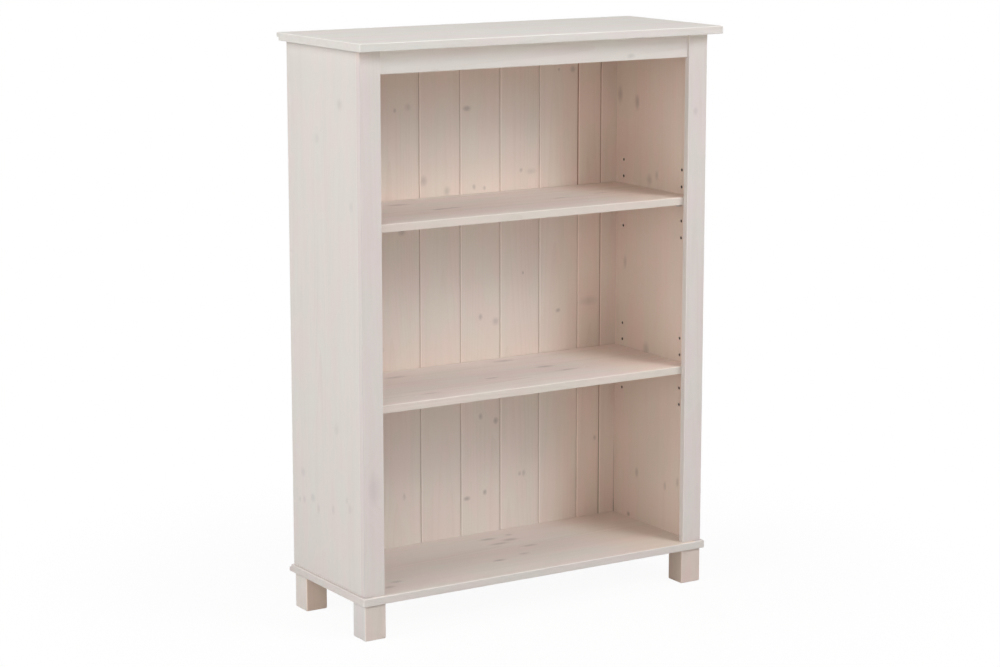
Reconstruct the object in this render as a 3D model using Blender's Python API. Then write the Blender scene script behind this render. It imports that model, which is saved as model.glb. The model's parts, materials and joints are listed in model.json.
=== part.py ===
"""A whitewashed pine bookcase: three compartments, two loose shelves, four square feet.

Metres, +Z up. X runs along the width and the front faces -Y. The origin is on the
floor, under the middle of the bounding box.
"""
import math

import bmesh
import bpy
from mathutils import Vector

# Case: the two sides with their front stiles, measured over their outer faces
CASE_WIDTH = 0.800
CASE_DEPTH = 0.290
CASE_HEIGHT = 1.051
SIDE_THICKNESS = 0.018

# Top board
TOP_THICKNESS = 0.016
TOP_SIDE_OVERHANG = 0.0165
TOP_FRONT_OVERHANG = 0.031

# Base board
BASE_THICKNESS = 0.016
BASE_SIDE_OVERHANG = 0.006
BASE_FRONT_OVERHANG = 0.007

# Feet: square blocks, flush with the case at the front and sides
FOOT_WIDTH = 0.047
FOOT_HEIGHT = 0.0715
FOOT_REAR_INSET = 0.005

# Front frame: a stile on each side's front edge, and a rail between them
STILE_WIDTH = 0.0445
STILE_THICKNESS = 0.014
RAIL_HEIGHT = 0.0465
RAIL_THICKNESS = 0.016
RAIL_RECESS = 0.0055

# Back: tongued boards between two rear stiles. It lies against the sides' rear edges and
# stands in a rebate along the whole length of the top board and of the base board.
BACK_THICKNESS = 0.009
BACK_BOARD_COUNT = 8
LEFT_BOARD_WIDTH = 0.0465
RIGHT_BOARD_WIDTH = 0.0575
REAR_STILE_SIGHT = 0.0405
BACK_LAP = 0.0095
TOP_REBATE = 0.0075
BASE_REBATE = 0.0075
TONGUE_LENGTH = 0.005
TONGUE_THICKNESS = 0.003
VEE_DEPTH = 0.0018
VEE_GAP = 0.0008

# Shelves
SHELF_THICKNESS = 0.016
SHELF_END_CLEARANCE = 0.001
SHELF_FRONT_CLEARANCE = 0.001
SHELF_REAR_CLEARANCE = 0.0015

# Shelf pins and the rows of holes that they fit
HOLE_RADIUS = 0.003
HOLE_DEPTH = 0.012
HOLE_PITCH = 0.035
HOLES_IN_GROUP = 5
GROUP_HEIGHT_SHARES = {"lower": 0.3325, "upper": 0.6654}
PIN_FRONT_INSET = 0.042
PIN_REAR_INSET = 0.025
PIN_HEAD_RADIUS = 0.0047
PIN_HEAD_LENGTH = 0.0117
PIN_TIP = 0.0006

# Dowels: sides into the top board, and rail into the stiles
DOWEL_RADIUS = 0.004
DOWEL_LENGTH = 0.030
DOWEL_IN_TOP = 0.009
DOWEL_TIP = 0.001
RAIL_DOWEL_RADIUS = 0.0025
RAIL_DOWEL_IN_STILE = 0.015
RAIL_DOWEL_IN_RAIL = 0.020

# Countersunk screws: up through the base board into the sides, and through the back's
# stiles into the sides' rear edges
BASE_SCREW = {
    "radius": 0.0022, "length": 0.045, "head_radius": 0.0045, "head_height": 0.0028,
    "point": 0.006, "recess_arm": 0.0026, "recess_width": 0.001, "recess_depth": 0.0016,
}
BACK_SCREW = {
    "radius": 0.0015, "length": 0.025, "head_radius": 0.003, "head_height": 0.0019,
    "point": 0.004, "recess_arm": 0.0018, "recess_width": 0.0007, "recess_depth": 0.0011,
}
SCREW_POINT_RADIUS = 0.0004

# Bolts: each foot is screwed up into the base board on one
BOLT_RADIUS = 0.004
BOLT_IN_BASE = 0.011
BOLT_IN_FOOT = 0.032
BOLT_TIP = 0.001

# Places of the dowels and screws along a side, as shares of its depth
DOWEL_DEPTH_SHARES = {"front": 0.18, "middle": 0.50, "rear": 0.82}
SCREW_DEPTH_SHARES = {"front": 0.24, "middle": 0.49, "rear": 0.74}

# Places of the back's screws, as shares of the case height
BACK_SCREW_HEIGHT_SHARES = {"lower": 0.10, "middle": 0.50, "upper": 0.90}

# Eased edges
BOARD_EASE = 0.0022
STILE_EASE = 0.0014
FOOT_EASE = 0.0028
EASE_STEPS = 3

# Clearances and the facets of round work
GAP = 0.0003
OVERRUN = 0.003
FINE_SIDES = 16
COARSE_SIDES = 12

# Colours and surface values
PINE = ("whitewashed_pine", (0.69, 0.65, 0.61), 0.55, 0.0)
BEECH = ("beech_dowel", (0.62, 0.42, 0.25), 0.60, 0.0)
STEEL = ("zinc_plated_steel", (0.62, 0.63, 0.65), 0.35, 1.0)

# Levels and planes that several pieces share
BASE_TOP = FOOT_HEIGHT + BASE_THICKNESS
TOP_UNDER = BASE_TOP + CASE_HEIGHT
TOP_FACE = TOP_UNDER + TOP_THICKNESS
HALF_WIDTH = CASE_WIDTH / 2
INNER_X = HALF_WIDTH - SIDE_THICKNESS
REBATE_DEPTH = BACK_THICKNESS + GAP + GAP
REAR_Y = (TOP_FRONT_OVERHANG + CASE_DEPTH + REBATE_DEPTH) / 2
SIDE_REAR_Y = REAR_Y - REBATE_DEPTH
FRONT_Y = SIDE_REAR_Y - CASE_DEPTH
SIDE_FRONT_Y = FRONT_Y + STILE_THICKNESS
BACK_FRONT_Y = SIDE_REAR_Y + GAP
BACK_REAR_Y = BACK_FRONT_Y + BACK_THICKNESS
SHELF_FRONT_Y = SIDE_FRONT_Y + SHELF_FRONT_CLEARANCE
SHELF_REAR_Y = BACK_FRONT_Y - SHELF_REAR_CLEARANCE
PIN_RADIUS = HOLE_RADIUS - GAP
PIN_ROWS = {"front": SHELF_FRONT_Y + PIN_FRONT_INSET, "rear": SHELF_REAR_Y - PIN_REAR_INSET}
SIDES = {"left": -1, "right": 1}
UP = Vector((0, 0, 1))
DOWN = -UP
BACKWARD = Vector((0, 1, 0))
FORWARD = -BACKWARD


def clear_scene():
    """Remove what the file opened with."""
    for thing in list(bpy.data.objects):
        bpy.data.objects.remove(thing, do_unlink=True)


def finish_material(finish):
    """The material of a finish, made on its first use."""
    name, colour, roughness, metallic = finish
    material = bpy.data.materials.get(name)
    if material is None:
        material = bpy.data.materials.new(name)
        material.use_nodes = True
        shader = material.node_tree.nodes["Principled BSDF"]
        shader.inputs["Base Color"].default_value = (*colour, 1)
        shader.inputs["Roughness"].default_value = roughness
        shader.inputs["Metallic"].default_value = metallic
        material.diffuse_color = (*colour, 1)
    return material


def place(name, shape, origin, finish=None):
    """Turn a bmesh, drawn about its own origin, into an object; no finish makes a cutter."""
    bmesh.ops.recalc_face_normals(shape, faces=shape.faces[:])
    mesh = bpy.data.meshes.new(name)
    shape.to_mesh(mesh)
    shape.free()
    thing = bpy.data.objects.new(name, mesh)
    bpy.context.scene.collection.objects.link(thing)
    thing.location = origin
    if finish is None:
        thing.hide_render = True
        thing.display_type = 'WIRE'
    else:
        mesh.materials.append(finish_material(finish))
    return thing


def box_shape(low, high):
    """A box as a bmesh about its own centre, and that centre."""
    low, high = Vector(low), Vector(high)
    shape = bmesh.new()
    bmesh.ops.create_cube(shape, size=1)
    bmesh.ops.scale(shape, vec=high - low, verts=shape.verts)
    return shape, (low + high) / 2


def wooden_block(name, low, high, ease, square=()):
    """A planed block of pine with eased edges. Each item of square gives the outward
    directions of one face, whose edges stay square, or of two that share a square edge."""
    shape, centre = box_shape(low, high)
    shape.normal_update()
    weights = shape.edges.layers.float.new("bevel_weight_edge")
    for edge in shape.edges:
        facing = [face.normal for face in edge.link_faces]
        stays = any(
            all(any(normal.dot(way) > 0.5 for normal in facing) for way in ways)
            for ways in square
        )
        edge[weights] = 0 if stays else 1
    block = place(name, shape, centre, PINE)
    bevel = block.modifiers.new("eased_edges", 'BEVEL')
    bevel.width = ease
    bevel.segments = EASE_STEPS
    bevel.limit_method = 'WEIGHT'
    return block


def cross_axes(axis):
    """Two directions square to an axis and to each other."""
    across = Vector((0, 0, 1)) if abs(axis.z) < abs(axis.x) else Vector((1, 0, 0))
    return across, axis.cross(across)


def turn(shape, start, axis, rings, sides):
    """Add a closed turned body: rings are (distance along the axis, radius)."""
    across, beside = cross_axes(axis)
    loops = []
    for distance, radius in rings:
        centre = start + axis * distance
        angles = [math.tau * (step + 0.5) / sides for step in range(sides)]
        loops.append([
            shape.verts.new(centre + (across * math.cos(a) + beside * math.sin(a)) * radius)
            for a in angles
        ])
    for lower, upper in zip(loops, loops[1:]):
        for step in range(sides):
            after = (step + 1) % sides
            shape.faces.new((lower[step], lower[after], upper[after], upper[step]))
    shape.faces.new(loops[0])
    shape.faces.new(loops[-1])


def turned_piece(name, origin, axis, rings, sides, finish):
    """A turned piece whose origin is at distance 0 on its axis."""
    shape = bmesh.new()
    turn(shape, Vector((0, 0, 0)), axis, rings, sides)
    piece = place(name, shape, origin, finish)
    piece.data.shade_smooth()
    piece.data.set_sharp_from_angle(angle=math.radians(35))
    return piece


def cut(piece, cutter):
    """Take a cutter's space out of a piece."""
    boolean = piece.modifiers.new(cutter.name, 'BOOLEAN')
    boolean.operation = 'DIFFERENCE'
    boolean.solver = 'EXACT'
    boolean.object = cutter


def cut_box(piece, name, low, high):
    """Cut a square space, such as a rebate."""
    shape, centre = box_shape(low, high)
    cut(piece, place(name, shape, centre))


def drill(piece, name, mouths, axis, rings, sides):
    """Drill the same hole at each mouth; rings are (depth, radius) below the surface."""
    shape = bmesh.new()
    opening = (-OVERRUN, rings[0][1])
    for mouth in mouths:
        turn(shape, mouth, axis, [opening, *rings[1:]], sides)
    cut(piece, place(name, shape, (0, 0, 0)))


def straight_hole(radius, depth):
    """The rings of a plain blind hole."""
    return [(0, radius), (depth, radius)]


def prism(outline, height, axis=UP):
    """A closed bmesh prism of an outline square to an axis, from 0 to height along it."""
    across, beside = cross_axes(axis)
    points = [across * x + beside * y for x, y in outline]
    shape = bmesh.new()
    floor = [shape.verts.new(point) for point in points]
    roof = [shape.verts.new(point + axis * height) for point in points]
    shape.faces.new(floor)
    shape.faces.new(roof)
    for step in range(len(outline)):
        after = (step + 1) % len(outline)
        shape.faces.new((floor[step], floor[after], roof[after], roof[step]))
    return shape


def side_axis_x(side):
    """X of the middle of a side's thickness."""
    return SIDES[side] * (HALF_WIDTH - SIDE_THICKNESS / 2)


def along_side(shares):
    """Y of places along a side, by name."""
    depth = SIDE_REAR_Y - SIDE_FRONT_Y
    return {name: SIDE_FRONT_Y + depth * share for name, share in shares.items()}


def group_centre_z(group):
    """Height of the middle hole of a group."""
    return BASE_TOP + CASE_HEIGHT * GROUP_HEIGHT_SHARES[group]


def foot_places():
    """Low corner in X and Y of each foot, by name."""
    rows = {"front": FRONT_Y, "rear": SIDE_REAR_Y - FOOT_REAR_INSET - FOOT_WIDTH}
    columns = {"left": -HALF_WIDTH, "right": HALF_WIDTH - FOOT_WIDTH}
    return {f"{row}_{side}": (columns[side], rows[row]) for row in rows for side in columns}


def foot_axes():
    """X and Y of each foot's middle, by name."""
    half = FOOT_WIDTH / 2
    return {name: (x + half, y + half) for name, (x, y) in foot_places().items()}


def make_top_board():
    """The top board, rebated behind for the back, with blind holes for the dowels."""
    reach = HALF_WIDTH + TOP_SIDE_OVERHANG
    board = wooden_block(
        "top_board",
        (-reach, FRONT_Y - TOP_FRONT_OVERHANG, TOP_UNDER),
        (reach, REAR_Y, TOP_FACE),
        BOARD_EASE,
    )
    cut_box(
        board,
        "cut_top_rebate",
        (-reach - OVERRUN, SIDE_REAR_Y, TOP_UNDER - OVERRUN),
        (reach + OVERRUN, REAR_Y + OVERRUN, TOP_UNDER + TOP_REBATE),
    )
    mouths = [
        Vector((side_axis_x(side), y, TOP_UNDER))
        for side in SIDES
        for y in along_side(DOWEL_DEPTH_SHARES).values()
    ]
    hole = straight_hole(DOWEL_RADIUS + GAP, DOWEL_IN_TOP + GAP)
    drill(board, "cut_top_dowels", mouths, UP, hole, COARSE_SIDES)


def sunk_screw_hole(screw, thickness):
    """The rings of a countersunk hole through a board, from the face that the head is in."""
    sink = screw["head_radius"] + GAP
    shank = screw["radius"] + GAP
    return [(0, sink), (GAP + GAP, sink), (screw["head_height"] + GAP + GAP, shank),
            (thickness + OVERRUN, shank)]


def make_base_board():
    """The base board, rebated behind, with holes for the screws and the foot bolts."""
    reach = HALF_WIDTH + BASE_SIDE_OVERHANG
    board = wooden_block(
        "base_board",
        (-reach, FRONT_Y - BASE_FRONT_OVERHANG, FOOT_HEIGHT),
        (reach, REAR_Y, BASE_TOP),
        BOARD_EASE,
    )
    cut_box(
        board,
        "cut_base_rebate",
        (-reach - OVERRUN, SIDE_REAR_Y, BASE_TOP - BASE_REBATE),
        (reach + OVERRUN, REAR_Y + OVERRUN, BASE_TOP + OVERRUN),
    )
    screws = [
        Vector((side_axis_x(side), y, FOOT_HEIGHT))
        for side in SIDES
        for y in along_side(SCREW_DEPTH_SHARES).values()
    ]
    screw_hole = sunk_screw_hole(BASE_SCREW, BASE_THICKNESS)
    drill(board, "cut_base_screws", screws, UP, screw_hole, COARSE_SIDES)
    bolts = [Vector((x, y, FOOT_HEIGHT)) for x, y in foot_axes().values()]
    hole = straight_hole(BOLT_RADIUS + GAP, BOLT_IN_BASE + GAP)
    drill(board, "cut_base_bolts", bolts, UP, hole, COARSE_SIDES)


def back_screw_places(side):
    """X and Z of the screws that hold the back to a side, by name."""
    x = SIDES[side] * (INNER_X + BACK_LAP / 2)
    return {name: (x, BASE_TOP + CASE_HEIGHT * share)
            for name, share in BACK_SCREW_HEIGHT_SHARES.items()}


def make_side_panel(side):
    """A side, with its rows of pin holes and its joints' holes."""
    sign = SIDES[side]
    outer, inner = sign * HALF_WIDTH, sign * INNER_X
    outward = Vector((sign, 0, 0))
    panel = wooden_block(
        f"side_panel_{side}",
        (min(outer, inner), SIDE_FRONT_Y + GAP, BASE_TOP + GAP),
        (max(outer, inner), SIDE_REAR_Y, TOP_UNDER - GAP),
        STILE_EASE,
        square=[(UP,), (DOWN,), (FORWARD,), (-outward, BACKWARD)],
    )
    middle = (HOLES_IN_GROUP - 1) / 2
    mouths = [
        Vector((inner, y, group_centre_z(group) + HOLE_PITCH * (number - middle)))
        for group in GROUP_HEIGHT_SHARES
        for y in PIN_ROWS.values()
        for number in range(HOLES_IN_GROUP)
    ]
    pin_hole = straight_hole(HOLE_RADIUS, HOLE_DEPTH)
    drill(panel, f"cut_{side}_pin_holes", mouths, outward, pin_hole, FINE_SIDES)
    x = side_axis_x(side)
    tops = [Vector((x, y, TOP_UNDER - GAP)) for y in along_side(DOWEL_DEPTH_SHARES).values()]
    dowel_hole = straight_hole(DOWEL_RADIUS + GAP, DOWEL_LENGTH - DOWEL_IN_TOP + GAP)
    drill(panel, f"cut_{side}_dowels", tops, DOWN, dowel_hole, COARSE_SIDES)
    bottoms = [Vector((x, y, BASE_TOP + GAP)) for y in along_side(SCREW_DEPTH_SHARES).values()]
    screw_hole = straight_hole(BASE_SCREW["radius"] + GAP, BASE_SCREW["length"] - BASE_THICKNESS + GAP)
    drill(panel, f"cut_{side}_screws", bottoms, UP, screw_hole, COARSE_SIDES)
    rears = [Vector((x, SIDE_REAR_Y, z)) for x, z in back_screw_places(side).values()]
    screw_hole = straight_hole(BACK_SCREW["radius"] + GAP, BACK_SCREW["length"] - BACK_THICKNESS + GAP)
    drill(panel, f"cut_{side}_back_screws", rears, FORWARD, screw_hole, COARSE_SIDES)


def rail_dowel_place(side):
    """Where a rail dowel's axis crosses the joint between stile and rail."""
    y = FRONT_Y + (RAIL_RECESS + STILE_THICKNESS) / 2
    return Vector((SIDES[side] * (HALF_WIDTH - STILE_WIDTH), y, TOP_UNDER - RAIL_HEIGHT / 2))


def make_front_stile(side):
    """A front stile: it covers the side's front edge and stands proud of it inside."""
    sign = SIDES[side]
    outer, inner = sign * HALF_WIDTH, sign * (HALF_WIDTH - STILE_WIDTH)
    outward = Vector((sign, 0, 0))
    stile = wooden_block(
        f"front_stile_{side}",
        (min(outer, inner), FRONT_Y, BASE_TOP + GAP),
        (max(outer, inner), SIDE_FRONT_Y, TOP_UNDER - GAP),
        STILE_EASE,
        square=[(UP,), (DOWN,), (outward, BACKWARD)],
    )
    hole = straight_hole(RAIL_DOWEL_RADIUS + GAP, RAIL_DOWEL_IN_STILE + GAP)
    drill(stile, f"cut_stile_dowel_{side}", [rail_dowel_place(side)], outward, hole, COARSE_SIDES)


def make_top_rail():
    """The rail under the top board, set back between the stiles."""
    half = HALF_WIDTH - STILE_WIDTH - GAP
    rail = wooden_block(
        "top_rail",
        (-half, FRONT_Y + RAIL_RECESS, TOP_UNDER - RAIL_HEIGHT),
        (half, FRONT_Y + RAIL_RECESS + RAIL_THICKNESS, TOP_UNDER - GAP),
        STILE_EASE,
        square=[(UP,), (Vector((1, 0, 0)),), (Vector((-1, 0, 0)),)],
    )
    hole = straight_hole(RAIL_DOWEL_RADIUS + GAP, RAIL_DOWEL_IN_RAIL + GAP)
    for side, sign in SIDES.items():
        inward = Vector((-sign, 0, 0))
        drill(rail, f"cut_rail_dowel_{side}", [rail_dowel_place(side)], inward, hole, COARSE_SIDES)


def back_outline(left, right, grooved, tongued):
    """Plan of a back board: a vee on each front edge, a groove on its left, a tongue on its right."""
    front, rear = 0, BACK_THICKNESS
    middle = (front + VEE_DEPTH + rear) / 2
    tongue_low = middle - TONGUE_THICKNESS / 2
    tongue_high = middle + TONGUE_THICKNESS / 2
    outline = [(left + VEE_DEPTH, front), (right - VEE_DEPTH, front), (right, VEE_DEPTH)]
    if tongued:
        reach = right + TONGUE_LENGTH
        outline += [(right, tongue_low), (reach, tongue_low), (reach, tongue_high), (right, tongue_high)]
    outline += [(right, rear), (left, rear)]
    if grooved:
        depth = left + TONGUE_LENGTH + GAP
        low, high = tongue_low - GAP, tongue_high + GAP
        outline += [(left, high), (depth, high), (depth, low), (left, low)]
    return outline + [(left, VEE_DEPTH)]


def back_joints():
    """X of each joint of the back, from the left rear stile to the right one."""
    sight = INNER_X - REAR_STILE_SIGHT
    first, last = -sight + LEFT_BOARD_WIDTH, sight - RIGHT_BOARD_WIDTH
    full_boards = BACK_BOARD_COUNT - 2
    pitch = (last - first) / full_boards
    return [-sight, *(first + pitch * step for step in range(full_boards + 1)), sight]


def make_back():
    """The two rear stiles and the tongued boards between them."""
    floor = BASE_TOP - BASE_REBATE + GAP
    height = TOP_UNDER + TOP_REBATE - GAP - floor
    joints = back_joints()
    edge = INNER_X + BACK_LAP
    spans = {"rear_stile_left": (-edge, joints[0]), "rear_stile_right": (joints[-1], edge)}
    for number, span in enumerate(zip(joints, joints[1:]), start=1):
        spans[f"back_board_{number}"] = span
    for name, (left, right) in spans.items():
        starts_joint = left > -edge
        ends_joint = right < edge
        outline = back_outline(
            left + (VEE_GAP / 2 if starts_joint else 0),
            right - (VEE_GAP / 2 if ends_joint else 0),
            grooved=starts_joint,
            tongued=ends_joint,
        )
        middle = (left + right) / 2
        shape = prism([(x - middle, y) for x, y in outline], height)
        place(name, shape, (middle, BACK_FRONT_Y, floor), PINE)
    screw_hole = sunk_screw_hole(BACK_SCREW, BACK_THICKNESS)
    for side in SIDES:
        stile = bpy.data.objects[f"rear_stile_{side}"]
        mouths = [Vector((x, BACK_REAR_Y, z)) for x, z in back_screw_places(side).values()]
        drill(stile, f"cut_rear_stile_{side}", mouths, FORWARD, screw_hole, COARSE_SIDES)


def make_shelf(group):
    """A loose shelf, lying on four pins in the middle holes of its group."""
    half = INNER_X - SHELF_END_CLEARANCE
    under = group_centre_z(group) + PIN_HEAD_RADIUS + GAP
    wooden_block(
        f"shelf_{group}",
        (-half, SHELF_FRONT_Y, under),
        (half, SHELF_REAR_Y, under + SHELF_THICKNESS),
        BOARD_EASE,
    )


def make_shelf_pin(group, side, row):
    """A steel pin with a thicker head, on which the shelf lies; distance 0 on it is the
    side's inner face."""
    inside = HOLE_DEPTH - GAP
    end = GAP + PIN_HEAD_LENGTH
    rings = [
        (-inside, PIN_RADIUS - PIN_TIP),
        (-inside + PIN_TIP, PIN_RADIUS),
        (GAP, PIN_RADIUS),
        (GAP, PIN_HEAD_RADIUS),
        (end - PIN_TIP, PIN_HEAD_RADIUS),
        (end, PIN_HEAD_RADIUS - PIN_TIP),
    ]
    origin = (SIDES[side] * INNER_X, PIN_ROWS[row], group_centre_z(group))
    inward = Vector((-SIDES[side], 0, 0))
    turned_piece(f"shelf_pin_{group}_{side}_{row}", origin, inward, rings, FINE_SIDES, STEEL)


def make_foot(name):
    """A square foot, drilled from above for its bolt."""
    x, y = foot_places()[name]
    foot = wooden_block(
        f"foot_{name}",
        (x, y, 0),
        (x + FOOT_WIDTH, y + FOOT_WIDTH, FOOT_HEIGHT - GAP),
        FOOT_EASE,
    )
    mouth = Vector((*foot_axes()[name], FOOT_HEIGHT - GAP))
    hole = straight_hole(BOLT_RADIUS + GAP, BOLT_IN_FOOT + GAP)
    drill(foot, f"cut_foot_{name}", [mouth], DOWN, hole, COARSE_SIDES)


def rounded_rod(start, end, radius, tip):
    """The rings of a rod whose two ends are chamfered."""
    return [(start, radius - tip), (start + tip, radius), (end - tip, radius), (end, radius - tip)]


def make_foot_bolt(name):
    """A headless bolt, half in the foot and half in the base board."""
    rings = rounded_rod(-BOLT_IN_FOOT, BOLT_IN_BASE, BOLT_RADIUS, BOLT_TIP)
    turned_piece(f"foot_bolt_{name}", (*foot_axes()[name], FOOT_HEIGHT), UP, rings, COARSE_SIDES, STEEL)


def make_top_dowel(side, place_name, y):
    """A dowel between a side's upper end and the top board."""
    rings = rounded_rod(DOWEL_IN_TOP - DOWEL_LENGTH, DOWEL_IN_TOP, DOWEL_RADIUS, DOWEL_TIP)
    origin = (side_axis_x(side), y, TOP_UNDER)
    turned_piece(f"top_dowel_{side}_{place_name}", origin, UP, rings, COARSE_SIDES, BEECH)


def make_rail_dowel(side):
    """A dowel between the rail and a front stile."""
    rings = rounded_rod(-RAIL_DOWEL_IN_STILE, RAIL_DOWEL_IN_RAIL, RAIL_DOWEL_RADIUS, DOWEL_TIP)
    inward = Vector((-SIDES[side], 0, 0))
    turned_piece(f"rail_dowel_{side}", rail_dowel_place(side), inward, rings, COARSE_SIDES, BEECH)


def plus_outline(arm, width):
    """A plus sign's outline, for the recess in a screw's head."""
    half = width / 2
    quarter = [(arm, -half), (arm, half), (half, half)]
    outline = []
    for step in range(4):
        angle = math.tau * step / 4
        cosine, sine = math.cos(angle), math.sin(angle)
        outline += [(x * cosine - y * sine, x * sine + y * cosine) for x, y in quarter]
    return outline


def make_screw(name, origin, axis, screw):
    """A countersunk screw with a cross recess; its head is at the origin."""
    rings = [
        (0, screw["head_radius"] - GAP),
        (GAP, screw["head_radius"]),
        (screw["head_height"], screw["radius"]),
        (screw["length"] - screw["point"], screw["radius"]),
        (screw["length"] - GAP, SCREW_POINT_RADIUS),
    ]
    piece = turned_piece(name, origin, axis, rings, COARSE_SIDES, STEEL)
    outline = plus_outline(screw["recess_arm"], screw["recess_width"])
    recess = prism(outline, screw["recess_depth"] + OVERRUN, axis)
    cut(piece, place(f"cut_recess_{name}", recess, origin - axis * OVERRUN))


def make_screws(side):
    """The screws of one side: through the base board and through the back."""
    for place_name, y in along_side(SCREW_DEPTH_SHARES).items():
        origin = Vector((side_axis_x(side), y, FOOT_HEIGHT + GAP))
        make_screw(f"base_screw_{side}_{place_name}", origin, UP, BASE_SCREW)
    for place_name, (x, z) in back_screw_places(side).items():
        origin = Vector((x, BACK_REAR_Y - GAP, z))
        make_screw(f"back_screw_{side}_{place_name}", origin, FORWARD, BACK_SCREW)


def build():
    """Make every piece of the bookcase."""
    clear_scene()
    make_top_board()
    make_base_board()
    make_top_rail()
    make_back()
    for side in SIDES:
        make_side_panel(side)
        make_front_stile(side)
        make_rail_dowel(side)
        for place_name, y in along_side(DOWEL_DEPTH_SHARES).items():
            make_top_dowel(side, place_name, y)
        make_screws(side)
    for group in GROUP_HEIGHT_SHARES:
        make_shelf(group)
        for side in SIDES:
            for row in PIN_ROWS:
                make_shelf_pin(group, side, row)
    for name in foot_places():
        make_foot(name)
        make_foot_bolt(name)


build()
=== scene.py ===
"""The looks of a whitewashed pine bookcase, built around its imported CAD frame.

Laid out as a Blender add-on. Metres, +Z up, and the front faces -Y. Every piece takes its
place and size from the CAD node that it stands for, and rides on that node's body.
"""
import json
import math
import random
from functools import reduce
from types import SimpleNamespace

import bmesh
import bpy
from bpy.props import FloatProperty, FloatVectorProperty, IntProperty, PointerProperty
from bpy.types import Operator, Panel, PropertyGroup
from mathutils import Matrix, Vector


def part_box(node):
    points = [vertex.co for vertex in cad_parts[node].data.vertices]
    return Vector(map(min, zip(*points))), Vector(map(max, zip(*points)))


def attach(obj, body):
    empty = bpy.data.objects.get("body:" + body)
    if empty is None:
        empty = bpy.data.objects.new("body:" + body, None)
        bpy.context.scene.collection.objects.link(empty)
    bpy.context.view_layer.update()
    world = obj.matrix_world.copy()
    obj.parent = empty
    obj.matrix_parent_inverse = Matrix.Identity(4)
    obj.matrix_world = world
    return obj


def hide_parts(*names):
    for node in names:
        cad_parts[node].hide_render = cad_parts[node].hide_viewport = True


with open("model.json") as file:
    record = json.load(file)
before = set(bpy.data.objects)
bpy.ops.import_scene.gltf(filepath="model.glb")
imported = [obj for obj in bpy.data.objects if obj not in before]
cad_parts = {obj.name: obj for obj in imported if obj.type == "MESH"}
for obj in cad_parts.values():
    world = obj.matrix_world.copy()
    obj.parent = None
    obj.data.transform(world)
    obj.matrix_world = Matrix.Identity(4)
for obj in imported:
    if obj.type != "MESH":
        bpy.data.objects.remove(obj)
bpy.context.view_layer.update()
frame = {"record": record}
BODY_OF = {
    node: body
    for body, nodes in frame["record"]["behaviour"]["bodies"].items()
    for node in nodes
}

bl_info = {
    "name": "Whitewashed pine bookcase",
    "version": (1, 0, 0),
    "blender": (4, 5, 0),
    "location": "View3D > Sidebar > Bookcase",
    "description": "Planed, drilled and whitewashed pine pieces of a bookcase",
    "category": "Object",
}

X, Y, Z = range(3)
UP, RIGHT, BACKWARD = Vector((0, 0, 1)), Vector((1, 0, 0)), Vector((0, 1, 0))
DOWN, FORWARD = -UP, -BACKWARD
SIDES = {"left": -1, "right": 1}
ROWS = ("front", "rear")
GROUPS = ("lower", "upper")
PINE, BEECH, STEEL = "whitewashed_pine", "beech_dowel", "zinc_plated_steel"


# Settings

def size_prop(name, description, default):
    """A length."""
    return FloatProperty(name=name, description=description, default=default, unit='LENGTH')


def count_prop(name, description, default, least=1):
    """A whole number."""
    return IntProperty(name=name, description=description, default=default, min=least)


def share_prop(name, description, default):
    """A share from 0 to 1."""
    return FloatProperty(
        name=name, description=description, default=default, min=0, max=1, subtype='FACTOR')


def colour_prop(name, description, default, most=1):
    """A colour, or a tint to multiply a colour by."""
    return FloatVectorProperty(
        name=name, description=description, default=default, min=0, max=most, subtype='COLOR')


class TimberSizes(PropertyGroup):
    """Sizes of the planing and of the joinery."""
    board_ease: size_prop("Board easing", "Rounding of the boards' and shelves' edges", 0.0022)
    stile_ease: size_prop(
        "Stile easing", "Rounding of the stiles', rail's and sides' edges", 0.0014)
    foot_ease: size_prop("Foot easing", "Rounding of the feet's edges", 0.0028)
    ease_steps: count_prop("Easing steps", "Facets across one rounded edge", 4)
    clearance: size_prop("Clearance", "Room between a rod and its hole", 0.0003)
    hole_radius: size_prop("Pin hole radius", "Radius of the shelf pin holes", 0.003)
    hole_depth: size_prop("Pin hole depth", "Depth of the shelf pin holes", 0.012)
    hole_chamfer: size_prop("Pin hole chamfer", "Chamfer round the mouth of a pin hole", 0.0005)
    hole_pitch: size_prop("Pin hole pitch", "Distance between two pin holes", 0.035)
    holes_in_group: count_prop("Holes in a group", "Pin holes above each other", 5)
    vee_depth: size_prop("Vee depth", "Depth of the vee between two back boards", 0.0015)
    vee_ease: size_prop("Vee easing", "Rounding of a vee's arrises", 0.0004)
    tongue_length: size_prop("Tongue length", "Length of a back board's tongue", 0.005)
    tongue_thickness: size_prop("Tongue thickness", "Thickness of a back board's tongue", 0.003)
    rod_sides: count_prop("Rod sides", "Facets round turned work", 32, 8)


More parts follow.
